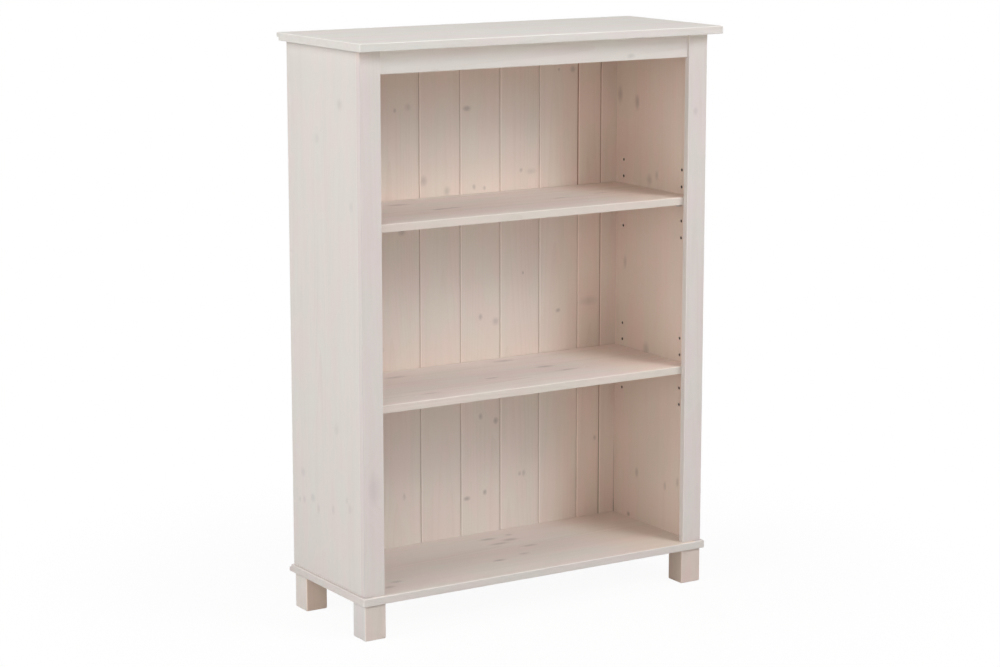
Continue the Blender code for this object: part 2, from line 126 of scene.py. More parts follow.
class FinishLook(PropertyGroup):
    """Colours of the finishes, tints of painted light and shade, and how strongly the timber shows
    through the wash.
    """
    wash: colour_prop("Whitewash", "Washed earlywood", (0.670, 0.618, 0.588))
    late: colour_prop("Latewood", "Latewood lines under the wash", (0.538, 0.471, 0.426))
    rosy: colour_prop("Rosy patches", "Where the wash lies thin", (0.684, 0.596, 0.575))
    greenish: colour_prop(
        "Greenish patches", "Where the wash lies thick", (0.642, 0.632, 0.582))
    knot: colour_prop("Knots", "Knots under the wash", (0.345, 0.315, 0.305))
    # Painted highlight along the eased edges, partly wash gathered there
    arris: colour_prop(
        "Arrises", "Eased edges, where the wash has gathered", (0.800, 0.750, 0.720))
    # Painted shade along the stiles' outer front corners
    dust: colour_prop("Dusty arrises", "The stiles' outer corners", (0.560, 0.525, 0.500))
    arris_strength: share_prop("Arris strength", "How much the arrises differ", 0.75)
    # Painted warm bounce light inside the case, and painted shade deep inside it
    inside: colour_prop(
        "Inside tone", "Tint of the thinner wash inside the case", (1.198, 1.162, 1.125), 2)
    shaded: colour_prop(
        "Shaded tone", "Tint of the wash deep inside the case", (1.24, 1.125, 1.03), 2)
    # Painted shade down in the pin holes
    hole: colour_prop("Pin holes", "Bare wood down in the pin holes", (0.12, 0.09, 0.075))
    # Painted shade down in the vees
    vee: colour_prop("Vees", "Thin wash down in the vees", (0.62, 0.50, 0.42))
    vee_strength: share_prop("Vee strength", "How much the vees differ", 0.15)
    bare: colour_prop(
        "Bare wood", "Bare wood in the vees that missed the wash", (0.40, 0.17, 0.10))
    stained: colour_prop(
        "Stained wood", "Damp wood low in the right rear corner", (0.30, 0.37, 0.22))
    joint: colour_prop(
        "Open joint", "The joint low in the right rear corner", (0.25, 0.18, 0.14))
    grain_strength: share_prop("Grain strength", "How much latewood shows", 0.20)
    fibre_strength: share_prop("Fibre strength", "How much the fibres show", 0.08)
    streak_strength: share_prop("Streak strength", "How much broad streaks show", 0.35)
    patch_strength: share_prop("Patch strength", "How much the wash varies", 0.48)
    ring_spacing: size_prop("Ring spacing", "Distance between growth rings", 0.0042)
    beech: colour_prop("Beech", "Bare turned beech", (0.62, 0.42, 0.25))
    beech_fleck: colour_prop("Beech fleck", "Flecks in the beech", (0.45, 0.27, 0.14))
    zinc: colour_prop("Zinc", "Zinc plated steel", (0.62, 0.63, 0.65))
    zinc_dull: colour_prop("Dull zinc", "Rubbed places on the zinc", (0.50, 0.50, 0.50))


class StageLook(PropertyGroup):
    """The camera, the even light and the floor."""
    camera_place: FloatVectorProperty(
        name="Camera place", description="Where the camera stands", subtype='TRANSLATION',
        default=(-2.80706, -4.43383, 1.55335))
    camera_turn: FloatVectorProperty(
        name="Camera turn", description="How the camera is turned", subtype='EULER',
        default=(math.radians(79.11), 0.0, math.radians(-32.2667)))
    lens: FloatProperty(
        name="Lens", description="Focal length in millimetres on a 36 mm sensor",
        default=95.6213)
    ambient: share_prop("Ambient light", "Strength of the even light all round", 0.02)
    ambient_colour: colour_prop(
        "Ambient colour", "Colour of the even light", (1.0, 0.985, 0.965))
    floor: colour_prop("Floor", "Colour of the floor", (0.85, 0.85, 0.85))
    floor_glow: share_prop(
        "Floor glow", "Share of the floor that is plain white to the camera", 0.94)
    floor_reach: size_prop("Floor reach", "Half the floor's width", 60.0)


# The bookcase's places

def sizes():
    """The timber sizes of this scene."""
    return bpy.context.scene.bookcase_sizes


def look():
    """The finishes' colours of this scene."""
    return bpy.context.scene.bookcase_look


def box_of(node):
    """Lowest and highest corner of a CAD node."""
    low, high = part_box(node)
    return Vector(low), Vector(high)


def middle_of(node):
    """The middle of a CAD node's box."""
    low, high = box_of(node)
    return (low + high) / 2


def nodes_named(start):
    """CAD nodes whose names start so, in order."""
    return sorted(node for node in BODY_OF if node.startswith(start))


def inner_face(side):
    """Where the inner face of a side is, across the bookcase."""
    low, high = box_of(f"side_panel_{side}")
    return low[X] if SIDES[side] > 0 else high[X]


# The inside of the case, which starts a little behind the shelves' fronts
BEHIND_FRONTS = 0.001
CASE_LOW = Vector((inner_face("left"), box_of("shelf_lower")[0][Y] + BEHIND_FRONTS,
                   box_of("base_board")[1][Z]))
CASE_HIGH = Vector((inner_face("right"), box_of("back_board_1")[0][Y],
                    box_of("top_board")[0][Z]))

# The least angle of a sharp edge on boards and on rods, how far a cutter stands out of the
# wood, and how much wider than its head a screw's countersink is
SHARP, SHARP_ROD = math.radians(40), math.radians(38)
OVERRUN, SINK_ROOM = 0.003, 0.0009
# How far an arris stands back at a vee's edge, as a share of its easing, and how much of a
# tongue's thickness its nose is eased by
VEE_ROUND_SHARE, NOSE_SHARE = 0.22, 0.2
SCREWS = {
    "base_screw": {
        "aim": UP, "radius": 0.0022, "head": 0.0045, "head_height": 0.0028, "point": 0.006,
        "pitch": 0.0020, "thread": 0.0006, "arm": 0.0026, "width": 0.0010, "recess": 0.0016},
    "back_screw": {
        "aim": FORWARD, "radius": 0.0015, "head": 0.0030, "head_height": 0.0019,
        "point": 0.004, "pitch": 0.0014, "thread": 0.0004, "arm": 0.0018, "width": 0.0007,
        "recess": 0.0011},
}
ROD_RADIUS = {"top_dowel": 0.004, "rail_dowel": 0.0025, "foot_bolt": 0.004,
              **{kind: screw["radius"] for kind, screw in SCREWS.items()}}
# A screw: its rim as (distance, how much narrower than the head), how far its flare has gone
# out to the head at a share of the head's height, where its thread starts as a share of its
# length, and its blunt point
SCREW_SIDES, SCREW_RIM = 24, ((0.0, 0.0002), (0.0001, 0.0), (0.00035, 0.0))
FLARE_AT_SHARE, FLARE_SHARE, THREAD_START_SHARE = 0.6, 0.34, 0.36
POINT_STEPS, POINT_RADIUS = 12, 0.0002
BOLT_PITCH, BOLT_THREAD, BOLT_TIP, BOLT_GAP = 0.00125, 0.0007, 0.001, 0.0002
DOWEL_SIDES, DOWEL_FLUTES, FLUTE_SHARE, TIP_SHARE = 64, 16, 0.11, 0.28
# A dowel's end in tips: (distance, how much narrower, how deep its flutes are)
DOWEL_END = ((0.0, 1.0, 0.0), (0.6, 0.35, 0.2), (1.4, 0.0, 1.0))
# A shelf pin: its tip and its groove as (distance from the tip or from the side, share of the
# shank), then its collar and its nose as (distance from the side or back from the nose's end,
# how much narrower than the head)
PIN_TIP = ((0.0, 0.62), (0.0007, 0.90), (0.0013, 1.0))
PIN_GROOVE = ((-0.0030, 1.0), (-0.0026, 0.93), (-0.0014, 0.93), (-0.0010, 1.0))
PIN_COLLAR = ((0.00004, 0.0005), (0.0003, 0.0001), (0.0008, 0.0))
PIN_NOSE = ((0.0016, 0.0), (0.0008, 0.0003), (0.0003, 0.0009), (0.0, 0.0018))

# Pieces whose grain runs across the bookcase; in the others it runs up
LYING = ("top_board", "base_board", "shelf_lower", "shelf_upper", "top_rail")
# Knots by piece, in millimetres in the room: (across, along, half width, half length, strength)
KNOTS = {
    "top_board": [(40, -250, 6, 14, 0.2), (-110, 120, 5, 12, 0.2), (95, 330, 5, 10, 0.15)],
    "base_board": [
        (104, 28, 6, 17, 0.5), (78, 66, 8, 16, 0.5), (63, 30, 5, 20, 0.5), (19, 76, 5, 16, 0.45),
        (-27, 33, 4, 11, 0.45), (-44, -37, 5, 12, 0.6), (-67, -292, 6, 12, 0.45),
        (-92, -321, 6, 12, 0.45), (112, 84, 6, 8, 0.4)],
    "shelf_lower": [
        (98, -194, 6, 22, 0.45), (-70, -213, 5, 18, 0.3), (29, 119, 7, 17, 0.6),
        (-20, 143, 4, 20, 0.55), (123, 79, 8, 22, 0.5), (-11, -34, 4, 15, 0.55)],
    "shelf_upper": [
        (-2, -146, 5, 18, 0.7), (0, -118, 4, 16, 0.6), (92, -189, 8, 22, 0.45),
        (6, 140, 5, 16, 0.4), (23, 251, 5, 16, 0.4)],
    "top_rail": [(1101, 217, 4, 8, 0.35), (1093, -234, 3, 8, 0.25)],
    "side_panel_left": [
        (-55, 1032, 9, 9, 0.22), (36, 959, 8, 9, 0.15), (111, 287, 8, 8, 0.2),
        (-29, 400, 8, 10, 0.15), (-96, 842, 6, 9, 0.15), (107, 232, 5, 6, 0.25),
        (125, 228, 4, 5, 0.2), (71, 243, 8, 7, 0.25), (48, 225, 5, 8, 0.2),
        (-12, 237, 5, 8, 0.2), (-79, 252, 5, 8, 0.2), (-67, 267, 4, 6, 0.15)],
    "side_panel_right": [
        (144, 993, 8, 15, 0.45), (82, 982, 7, 13, 0.55), (36, 824, 8, 10, 0.4),
        (10, 836, 5, 8, 0.35), (121, 639, 5, 12, 0.4), (42, 465, 9, 12, 0.4),
        (71, 191, 5, 9, 0.45), (-32, 183, 4, 8, 0.4), (-76, 200, 4, 9, 0.4), (100, 93, 5, 5, 0.7)],
    "front_stile_left": [(-377, 300, 11, 26, 0.2)],
    "front_stile_right": [(373, 983, 5, 7, 0.25)],
    "rear_stile_left": [(-362, 640, 5, 8, 0.4)],
    "back_board_1": [(-322, 905, 5, 6, 0.5), (-310, 420, 4, 5, 0.5)],
    "back_board_2": [(-262, 700, 7, 6, 0.5), (-230, 255, 5, 7, 0.45)],
    "back_board_3": [
        (-158, 988, 3, 4, 0.45), (-128, 993, 6, 6, 0.28), (-144, 741, 7, 6, 0.5),
        (-194, 503, 5, 6, 0.55), (-142, 191, 3, 6, 0.4)],
    "back_board_4": [(-92, 842, 7, 9, 0.4), (-37, 817, 6, 8, 0.4)],
    "back_board_5": [
        (11, 983, 8, 5, 0.6), (28, 821, 4, 5, 0.55), (53, 817, 3, 4, 0.55), (43, 549, 4, 6, 0.5),
        (80, 536, 7, 7, 0.4), (43, 338, 4, 6, 0.5), (80, 325, 5, 6, 0.6), (9, 166, 7, 4, 0.65),
        (53, 174, 4, 5, 0.65)],
    "back_board_6": [
        (142, 848, 3, 4, 0.5), (167, 844, 10, 5, 0.3), (147, 632, 2, 3, 0.6),
        (140, 203, 3, 4, 0.45), (150, 203, 4, 6, 0.4)],
    "back_board_7": [(235, 1051, 2, 3, 0.55), (270, 1050, 6, 6, 0.5), (235, 544, 5, 4, 0.6)],
    "back_board_8": [(313, 557, 20, 8, 0.28), (331, 257, 4, 5, 0.45)],
    "foot_rear_right": [(378, 44, 5, 6, 0.4)],
}

# Painted light and shade by piece, fitted to how each piece is lit and partly its own tone:
# its tint outside the case, on the piece's front, inside the case and under the top's
# overhang; and how lively the grain is. A lined piece is inside the case from its own front
# on, a drilled one has painted shade in its pin holes, and one with a shaded arris side has
# painted shade on its front arris on that side.
PLAIN = (1.0, 1.0, 1.0)
PLAIN_LIGHT_AND_GRAIN = {"tone": PLAIN, "front": None, "inner": PLAIN, "hood": None, "figure": 1.0,
             "lined": False, "drilled": False, "dusty": 0}
SIDE_LIGHT = {"tone": (1.015, 1.02, 1.02), "drilled": True}
SHELF_LIGHT_AND_GRAIN = {"tone": (0.992, 0.962, 0.916), "inner": (0.995, 1.005, 1.035), "figure": 2.2,
               "lined": True}
STILE_TONE = (0.995, 0.978, 0.99)
LIGHT_AND_GRAIN = {
    "top_board": {"tone": (1.012, 1.037, 1.036), "figure": 1.7},
    "base_board": {"tone": (0.98, 0.975, 0.975), "inner": (0.925, 0.943, 0.962),
                   "figure": 1.5, "lined": True},
    "side_panel_left": SIDE_LIGHT,
    "side_panel_right": SIDE_LIGHT,
    "shelf_lower": SHELF_LIGHT_AND_GRAIN,
    "shelf_upper": SHELF_LIGHT_AND_GRAIN,
    # Painted light under the top's overhang
    "top_rail": {"hood": (1.20, 1.19, 1.13)},
    "front_stile_left": {"tone": STILE_TONE, "front": STILE_TONE, "hood": (1.06, 1.03, 0.98),
                         "dusty": -1},
    "front_stile_right": {"tone": (1.09, 1.10, 1.10), "front": STILE_TONE,
                          "hood": (1.16, 1.15, 1.07), "dusty": 1},
    # Painted shadow of the right side and stile on the back's right end
    "back_board_8": {"inner": (0.97, 0.95, 0.94)},
    "rear_stile_right": {"inner": (0.90, 0.88, 0.87)},
    # Feet: painted light and shade, their fronts tinted apart from their sides by how they are lit
    "foot_front_left": {"tone": (0.985, 1.02, 1.035), "front": (0.97, 0.915, 0.885)},
    "foot_front_right": {"tone": (1.01, 0.865, 0.765), "front": (0.99, 0.89, 0.85)},
    "foot_rear_left": {"tone": (1.085, 1.085, 1.07), "front": (1.13, 0.98, 0.86)},
    "foot_rear_right": {"tone": (1.0, 0.93, 0.85), "front": (1.0, 0.90, 0.82)},
}
# Stretches of vee that missed the wash: (where across, lowest, highest, colour, how much)
BARE_VEES = (
    (box_of("back_board_8")[0][X], box_of("shelf_upper")[1][Z], 2.0, "bare", 0.80),
    (box_of("rear_stile_right")[0][X], 0.0, 2.0, "bare", 0.35),
    (box_of("rear_stile_right")[0][X], 0.0, 0.27, "stained", 0.35),
)
# The dark low in the right rear corner's joint: (start, full, how much), above the base board
JOINT_SHADES = ((0.18, 0.11, 0.38), (0.035, 0.010, 0.40))
# What shades what is inside: (board, how much, how far above its underside)
TOP_SHADE = ("top_board", 1.0, 0.002)
SHELF_SHADES = (("shelf_upper", 0.5, 0.12), ("shelf_lower", 0.5, 0.12))
# Fades, each as (start, full) in metres from a place. The painted shade starts to the right of
# the middle and under a board, and the painted light under the top's overhang.
SHADED_RIGHT, SHADED_UNDER, HOODED_UNDER = (0.16, 0.30), (-0.20, -0.02), (-0.028, -0.004)
# A piece's front, where its painted front tint starts, and the outer half of a stile, where
# its arris gets painted shade
FRONT_FADE, SHADED_ARRIS_FADE = (0.002, 0.0005), (0.0, 0.004)
# The ends of the case's inside
CASE_SIDE, CASE_FRONT, CASE_REAR = (0.004, 0.0), (0.0, 0.0015), (0.006, 0.004)
CASE_FLOOR, CASE_CEILING = (-0.002, -0.0005), (0.002, 0.0)
# A back board's painted arris highlight, from its side and its face, and the hollow of its vee,
# where shade is painted, from its face
ARRIS_HIGHLIGHT_SIDE, ARRIS_HIGHLIGHT_FACE = (-0.0034, -0.0024), (0.0006, 0.0001)
HOLLOW_TOP, HOLLOW_END = (0.0002, 0.0010), (0.0045, 0.0035)
# What missed the wash, across and up, and the corner's joint, from the case's side
MISSED_SIDE, MISSED_FADE, JOINT_SIDE = (0.006, 0.004), 0.05, (-0.0022, -0.0014)
# The painted shade in the pin holes, from a side's inner face and from the back
HOLE_MOUTH, HOLE_END, HOLES_REAR = (0.0002, 0.0014), (0.016, 0.014), (-0.012, -0.016)
# How near an edge a board's painted arris highlight is full, as a share of how far in it starts
ARRIS_HIGHLIGHT_SHARE = 0.3

# Noises in the timber: which random shift each takes, its cells to the metre across, through
# and along the grain, and its detail
NOISES = {
    "knots": (0, (160.0, 160.0, 90.0), 2.0),
    "sway": (1, (4.0, 4.0, 1.1), 1.0),
    "waves": (2, (22.0, 22.0, 2.0), 2.0),
    "figure": (3, (11.0, 11.0, 1.7), 2.0),
    "washes": (3, (24.0, 24.0, 9.0), 2.0),
    "fibres": (4, (430.0, 430.0, 9.0), 3.0),
    "streaks": (5, (75.0, 75.0, 3.0), 2.0),
}
SHIFTS, FARTHEST_SHIFT = 6, 40
# Noises in the beech and on the zinc: cells to the metre, shift and detail
FLECKS, BEECH_FIBRES = (
    ((900.0, 900.0, 260.0), (3.0, 7.0, 1.0), 3.0), ((1500.0, 1500.0, 200.0), (8.0, 2.0, 5.0), 2.0))
CLOUDS, SCRATCHES = (
    ((700.0, 700.0, 700.0), (1.0, 4.0, 9.0), 3.0), ((3000.0, 3000.0, 260.0), (6.0, 5.0, 2.0), 2.0))
# How ragged a knot is, and where it and the swelling round it start and are full, in its own
# half-widths; then the levels of a noise between which the grain and the thin wash show
KNOT_RAGGED, KNOT_FADE, SWELL_FADE = 0.0032, (1.75, 0.15), (3.2, 0.8)
FIGURE_FADE, LEAST_FIGURE, THIN_FADE = (0.30, 0.72), 0.25, (0.34, 0.66)
# Growth rings: how far to a side the pith lies, as a share of the board's width, how far
# behind it, and how far it sways; how the rings lean, wave and swell round a knot; and how
# narrow the latewood is
PITH_SIDE, PITH_BEHIND, PITH_SWAY = 0.3, (0.035, 0.08), 0.06
RING_LEAN, RING_WAVE, RING_SWELL = 0.012, 0.004, 0.007
LATE_SHARPNESS = 2.4
# Pine: its roughness, and how much fibres and rings add to it; how far the rings lie down
# and the knots stand up; and its bump's strength and depth
PINE_SPECULAR, PINE_ROUGH, FIBRE_ROUGH, RING_ROUGH = 0.25, 0.68, 0.20, 0.06
RING_HOLLOW, KNOT_RISE, PINE_BUMP = 0.5, 0.8, (0.22, 0.0004)
# Beech: the levels of a noise between which its flecks show, and how much; its roughness,
# and how much fibres add to it; and its bump
FLECK_FADE, FLECK_SHOW = (0.52, 0.70), 0.6
BEECH_ROUGH, BEECH_FIBRE_ROUGH, BEECH_BUMP = 0.55, 0.15, (0.3, 0.0002)
# Zinc: the levels of a noise between which it is rubbed dull, its roughness, how much clouds
# and scratches add to it, and its bump
DULL_FADE, ZINC_BUMP = (0.4, 0.7), (0.15, 0.0001)
ZINC_ROUGH, CLOUD_ROUGH, SCRATCH_ROUGH = 0.24, 0.16, 0.08


# Drawing nodes

class Wire:
    """An output socket of a tree being drawn. Arithmetic on it adds Math nodes."""

    def __init__(self, drawing, socket):
        self.drawing, self.socket = drawing, socket

    def of(self, name):
        """Another output of the same node."""
        return Wire(self.drawing, self.socket.node.outputs[name])

    def maths(self, operation, *values):
        """A Math node's result."""
        return self.drawing.node("ShaderNodeMath", dict(enumerate(values)), operation=operation)

    def __abs__(self):
        return self.maths('ABSOLUTE', self)

    def larger(self, other):
        """The larger of two values."""
        return self.maths('MAXIMUM', self, other)

    def smaller(self, other):
        """The smaller of two values."""
        return self.maths('MINIMUM', self, other)

    def above(self, other):
        """1 where this is greater, else 0."""
        return self.maths('GREATER_THAN', self, other)


def overload(sign, operation):
    """Give Wire an operator and its reflected form."""
    setattr(Wire, f"__{sign}__", lambda wire, other: wire.maths(operation, wire, other))
    setattr(Wire, f"__r{sign}__", lambda wire, other: wire.maths(operation, other, wire))


for pair in (("add", 'ADD'), ("sub", 'SUBTRACT'), ("mul", 'MULTIPLY'), ("truediv", 'DIVIDE'),
             ("pow", 'POWER'), ("mod", 'FLOORED_MODULO')):
    overload(*pair)


class Drawing:
    """A node tree being drawn, of a finish or of a shape."""

    def __init__(self, tree):
        self.tree = tree

    def node(self, kind, sockets=None, output=0, **settings):
        """Add a node: its settings first, then its sockets' values or links."""
        node = self.tree.nodes.new(kind)
        for name, value in settings.items():
            setattr(node, name, value)
        for name, value in (sockets or {}).items():
            self.feed(node, name, value)
        return Wire(self, node.outputs[output]) if node.outputs else node

    def feed(self, node, name, value):
        """Link a wire, or a list of wires, to a socket, or set its value."""
        for item in value if isinstance(value, list) else [value]:
            if isinstance(item, Wire):
                self.tree.links.new(item.socket, node.inputs[name])
            else:
                node.inputs[name].default_value = item

    def vector(self, operation, *values, output=0):
        """A Vector Math node's result."""
        return self.node(
            "ShaderNodeVectorMath", dict(enumerate(values)), output, operation=operation)

    def length(self, vector):
        """A vector's length."""
        return self.vector('LENGTH', vector, output="Value")

    def join(self, *parts):
        """A vector of two or three parts."""
        return self.node("ShaderNodeCombineXYZ", dict(enumerate(parts)))

    def split(self, vector):
        """A vector's three parts."""
        xyz = self.node("ShaderNodeSeparateXYZ", {0: vector})
        return [xyz.of(name) for name in "XYZ"]

    def read(self, name, kind='FLOAT'):
        """A named attribute's value."""
        return self.node("GeometryNodeInputNamedAttribute", {"Name": name}, data_type=kind)

    def spot(self):
        """Where a spot is, in the room."""
        return self.node("ShaderNodeTexCoord", output="Object")

    def blend(self, factor, first, second, kind='MIX'):
        """A mix of two colours."""
        first, second = (c if isinstance(c, Wire) else (*c, 1) for c in (first, second))
        return self.node("ShaderNodeMix", {0: factor, 6: first, 7: second}, 2,
                         data_type='RGBA', blend_type=kind)

    def ease(self, value, start, end, low=0.0, high=1.0):
        """A smooth rise from low at start to high at end."""
        return self.node(
            "ShaderNodeMapRange", {0: value, 1: start, 2: end, 3: low, 4: high},
            interpolation_type='SMOOTHSTEP')

    def where(self, *rises):
        """1 where several smooth rises are all 1. Each is a value, a place, and the rise's
        start and end as measured from that place."""
        first, *others = (self.ease(value, place + start, place + end)
                          for value, place, (start, end) in rises)
        return math.prod(others, start=first)

    def noise(self, spot, stretch, shift, detail):
        """Smooth noise from 0 to 1; stretch is its cells to the metre along each axis."""
        place = self.vector('MULTIPLY_ADD', spot, stretch, shift)
        return self.node("ShaderNodeTexNoise", {"Vector": place, "Scale": 1.0, "Detail": detail})

    def dress(self, shader, colour, rough, height, strength, depth):
        """Feed a shader its colour, its roughness and its bump."""
        bump = self.node("ShaderNodeBump", {
            "Strength": strength, "Distance": depth, "Height": height})
        for name, value in (("Base Color", colour), ("Roughness", rough), ("Normal", bump)):
            self.feed(shader, name, value)


def made(store, maker):
    """What a maker makes, made once and kept under the maker's name."""
    return store.get(maker.__name__) or maker(maker.__name__)


# Shapes drawn in Geometry Nodes

def new_tree(name, inputs):
    """A geometry tree with named inputs; gives its drawing and its input wires by name."""
    tree = bpy.data.node_groups.new(name, "GeometryNodeTree")
    kinds = {"Geometry": "Geometry", **inputs, "Sharp Angle": "Float", "Finish": "Material"}
    for label, kind in kinds.items():
        tree.interface.new_socket(label, in_out='INPUT', socket_type=f"NodeSocket{kind}")
    tree.interface.new_socket("Geometry", in_out='OUTPUT', socket_type='NodeSocketGeometry')
    drawing = Drawing(tree)
    first = drawing.node("NodeGroupInput")
    return drawing, {label: first.of(label) for label in kinds}


def finish_tree(drawing, given, shape):
    """End a tree: smooth faces, sharp corners, instances realised and the finish set."""
    smooth = drawing.node("GeometryNodeSetShadeSmooth", {
        "Geometry": shape, "Shade Smooth": True}, domain='FACE')
    sharp = drawing.node("GeometryNodeInputMeshEdgeAngle").above(given["Sharp Angle"])
    crisp = drawing.node("GeometryNodeSetShadeSmooth", {
        "Geometry": smooth, "Selection": sharp, "Shade Smooth": False}, domain='EDGE')
    real = drawing.node("GeometryNodeRealizeInstances", {"Geometry": crisp})
    done = drawing.node("GeometryNodeSetMaterial", {
        "Geometry": real, "Material": given["Finish"]})
    drawing.node("NodeGroupOutput", {"Geometry": done})
    return drawing.tree


def board_joinery(name):
    """Drills, countersinks and rebates a board. The holes are the board mesh's own loose
    points, each with its aim, bore, depth and sink."""
    drawing, given = new_tree(name, {
        "Hole Sides": "Int", "Rebate Centre": "Vector", "Rebate Size": "Vector"})
    bore, sink = drawing.read("bore"), drawing.read("sink")
    split = drawing.node("GeometryNodeSeparateGeometry", {
        "Geometry": given["Geometry"], "Selection": bore.above(0.0)}, domain='POINT')
    turn = drawing.node("FunctionNodeAlignRotationToVector", {
        "Vector": drawing.read("aim", 'FLOAT_VECTOR')}, axis='Z')
    drill = drawing.node("GeometryNodeMeshCylinder", {
        "Vertices": given["Hole Sides"], "Radius": 1.0, "Depth": 1.0}, fill_type='NGON')
    drill = drawing.node("GeometryNodeTransform", {
        "Geometry": drill, "Translation": (0, 0, 0.5)})
    cone = drawing.node("GeometryNodeMeshCone", {
        "Vertices": given["Hole Sides"], "Radius Top": 0.0, "Radius Bottom": 1.0,
        "Depth": 1.0}, fill_type='NGON')
    cutters = []
    for tool, chosen, scale in (
            (drill, True, drawing.join(bore, bore, drawing.read("depth"))),
            (cone, sink.above(0.0), sink)):
        copies = drawing.node("GeometryNodeInstanceOnPoints", {
            "Points": split, "Selection": chosen, "Instance": tool, "Rotation": turn,
            "Scale": scale})
        cutters.append(drawing.node("GeometryNodeRealizeInstances", {"Geometry": copies}))
    rebate = drawing.node("GeometryNodeMeshCube", {"Size": given["Rebate Size"]})
    rebate = drawing.node("GeometryNodeTransform", {
        "Geometry": rebate, "Translation": given["Rebate Centre"]})
    cutters.append(drawing.node("GeometryNodeSwitch", {
        "Switch": drawing.length(given["Rebate Size"]).above(0.0), "True": rebate},
        input_type='GEOMETRY'))
    cut = drawing.node("GeometryNodeMeshBoolean", {0: split.of("Inverted"), 1: cutters},
                       operation='DIFFERENCE', solver='EXACT')
    return finish_tree(drawing, given, cut)


def moulded_board(name):
    """Extrudes a board from its closed outline, which the filling lays at height 0."""
    drawing, given = new_tree(name, {"Height": "Float"})
    curve = drawing.node("GeometryNodeMeshToCurve", {"Mesh": given["Geometry"]})
    section = drawing.node("GeometryNodeFillCurve", {"Curve": curve}, mode='NGONS')
    raised = drawing.node("GeometryNodeExtrudeMesh", {
        "Mesh": section, "Offset": (0.0, 0.0, 1.0), "Offset Scale": given["Height"],
        "Individual": False}, mode='FACES')
    under = drawing.node("GeometryNodeFlipFaces", {"Mesh": section})
    both = drawing.node("GeometryNodeJoinGeometry", {"Geometry": [raised, under]})
    closed = drawing.node("GeometryNodeMergeByDistance", {"Geometry": both, "Distance": 1e-6})
    return finish_tree(drawing, given, closed)


def turned_rod(name):
    """Turns a profile into a rod along Z, with a thread or flutes, and a cross recess in its
    lower end. The profile is a line of points, each with its girth and how deep it is cut."""
    drawing, given = new_tree(name, {
        "Sides": "Int", "Thread Pitch": "Float", "Thread Depth": "Float", "Flutes": "Int",
        "Flute Depth": "Float", "Recess Arm": "Float", "Recess Width": "Float",
        "Recess Depth": "Float"})
    line = drawing.node("GeometryNodeMeshToCurve", {"Mesh": given["Geometry"]})
    ring = drawing.node("GeometryNodeCurvePrimitiveCircle", {
        "Resolution": given["Sides"], "Radius": 1.0}, mode='RADIUS')
    rod = drawing.node("GeometryNodeCurveToMesh", {
        "Curve": line, "Profile Curve": ring, "Scale": drawing.read("girth"),
        "Fill Caps": True})
    spot = drawing.node("GeometryNodeInputPosition")
    x, y, z = drawing.split(spot)
    turn = y.maths('ARCTAN2', y, x) / math.tau
    phase = (z / given["Thread Pitch"].larger(1e-6) - turn) % 1.0
    thread = given["Thread Depth"] * abs(phase * 2.0 - 1.0)
    beat = (turn * given["Flutes"]) % 1.0
    flute = given["Flute Depth"] * (1.0 - abs(beat * 2.0 - 1.0)) ** 2.0
    depth = (thread + flute) * drawing.read("cut")
    outward = drawing.vector('NORMALIZE', drawing.vector('MULTIPLY', spot, (1.0, 1.0, 0.0)))
    inward = drawing.node("ShaderNodeVectorMath", {0: outward, "Scale": 0.0 - depth},
                          operation='SCALE')
    cut = drawing.node("GeometryNodeSetPosition", {"Geometry": rod, "Offset": inward})
    # an arm is measured from the middle, and half of the cutter lies outside the rod's end
    arm, deep = (given[label] * 2.0 for label in ("Recess Arm", "Recess Depth"))
    width = given["Recess Width"]
    arms = [drawing.node("GeometryNodeMeshCube", {"Size": drawing.join(a, b, deep)})
            for a, b in ((arm, width), (width, arm))]
    recessed = drawing.node("GeometryNodeMeshBoolean", {0: cut, 1: arms},
                            operation='DIFFERENCE', solver='EXACT')
    shape = drawing.node("GeometryNodeSwitch", {
        "Switch": deep.above(0.0), "False": cut, "True": recessed}, input_type='GEOMETRY')
    return finish_tree(drawing, given, shape)


def add_nodes(piece, maker, values):
    """Put a tree on a piece, its inputs set by their identifiers."""
    tree = made(bpy.data.node_groups, maker)
    modifier = piece.modifiers.new(tree.name, 'NODES')
    modifier.node_group = tree
    for item in tree.interface.items_tree:
        if item.item_type == 'SOCKET' and item.in_out == 'INPUT' and item.name in values:
            modifier[item.identifier] = values[item.name]


def new_piece(name, shape):
    """An object at the origin from a bmesh."""
    mesh = bpy.data.meshes.new(name)
    shape.to_mesh(mesh)
    shape.free()
    piece = bpy.data.objects.new(name, mesh)
    bpy.context.scene.collection.objects.link(piece)
    return piece


def settle(piece, finish):
    """Replace a piece's modifiers by the plain mesh that they make."""
    graph = bpy.context.evaluated_depsgraph_get()
    mesh = bpy.data.meshes.new_from_object(
        piece.evaluated_get(graph), preserve_all_data_layers=True, depsgraph=graph)
    if not mesh.polygons:
        raise RuntimeError(f"{piece.name} came out empty")
    drawn = piece.data
    piece.modifiers.clear()
    piece.data = mesh
    bpy.data.meshes.remove(drawn)
    mesh.name = piece.name
    for spare in ("aim", "bore", "depth", "sink", "girth", "cut"):
        if spare in mesh.attributes:
            mesh.attributes.remove(mesh.attributes[spare])
    mesh.materials.clear()
    mesh.materials.append(finish)
    for face in mesh.polygons:
        face.material_index = 0


def fit(piece, node, slot):
    """Let a piece stand for a CAD node and ride on its body."""
    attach(piece, BODY_OF[node])
    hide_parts(node)


# Timber

def bore_at(mouth, aim, radius, depth, sink=0.0):
    """A hole, as the point where its drill starts, a little outside the wood."""
    return {"start": mouth - aim * OVERRUN, "aim": aim, "bore": radius,
            "depth": depth + OVERRUN, "sink": sink + OVERRUN if sink else 0.0}


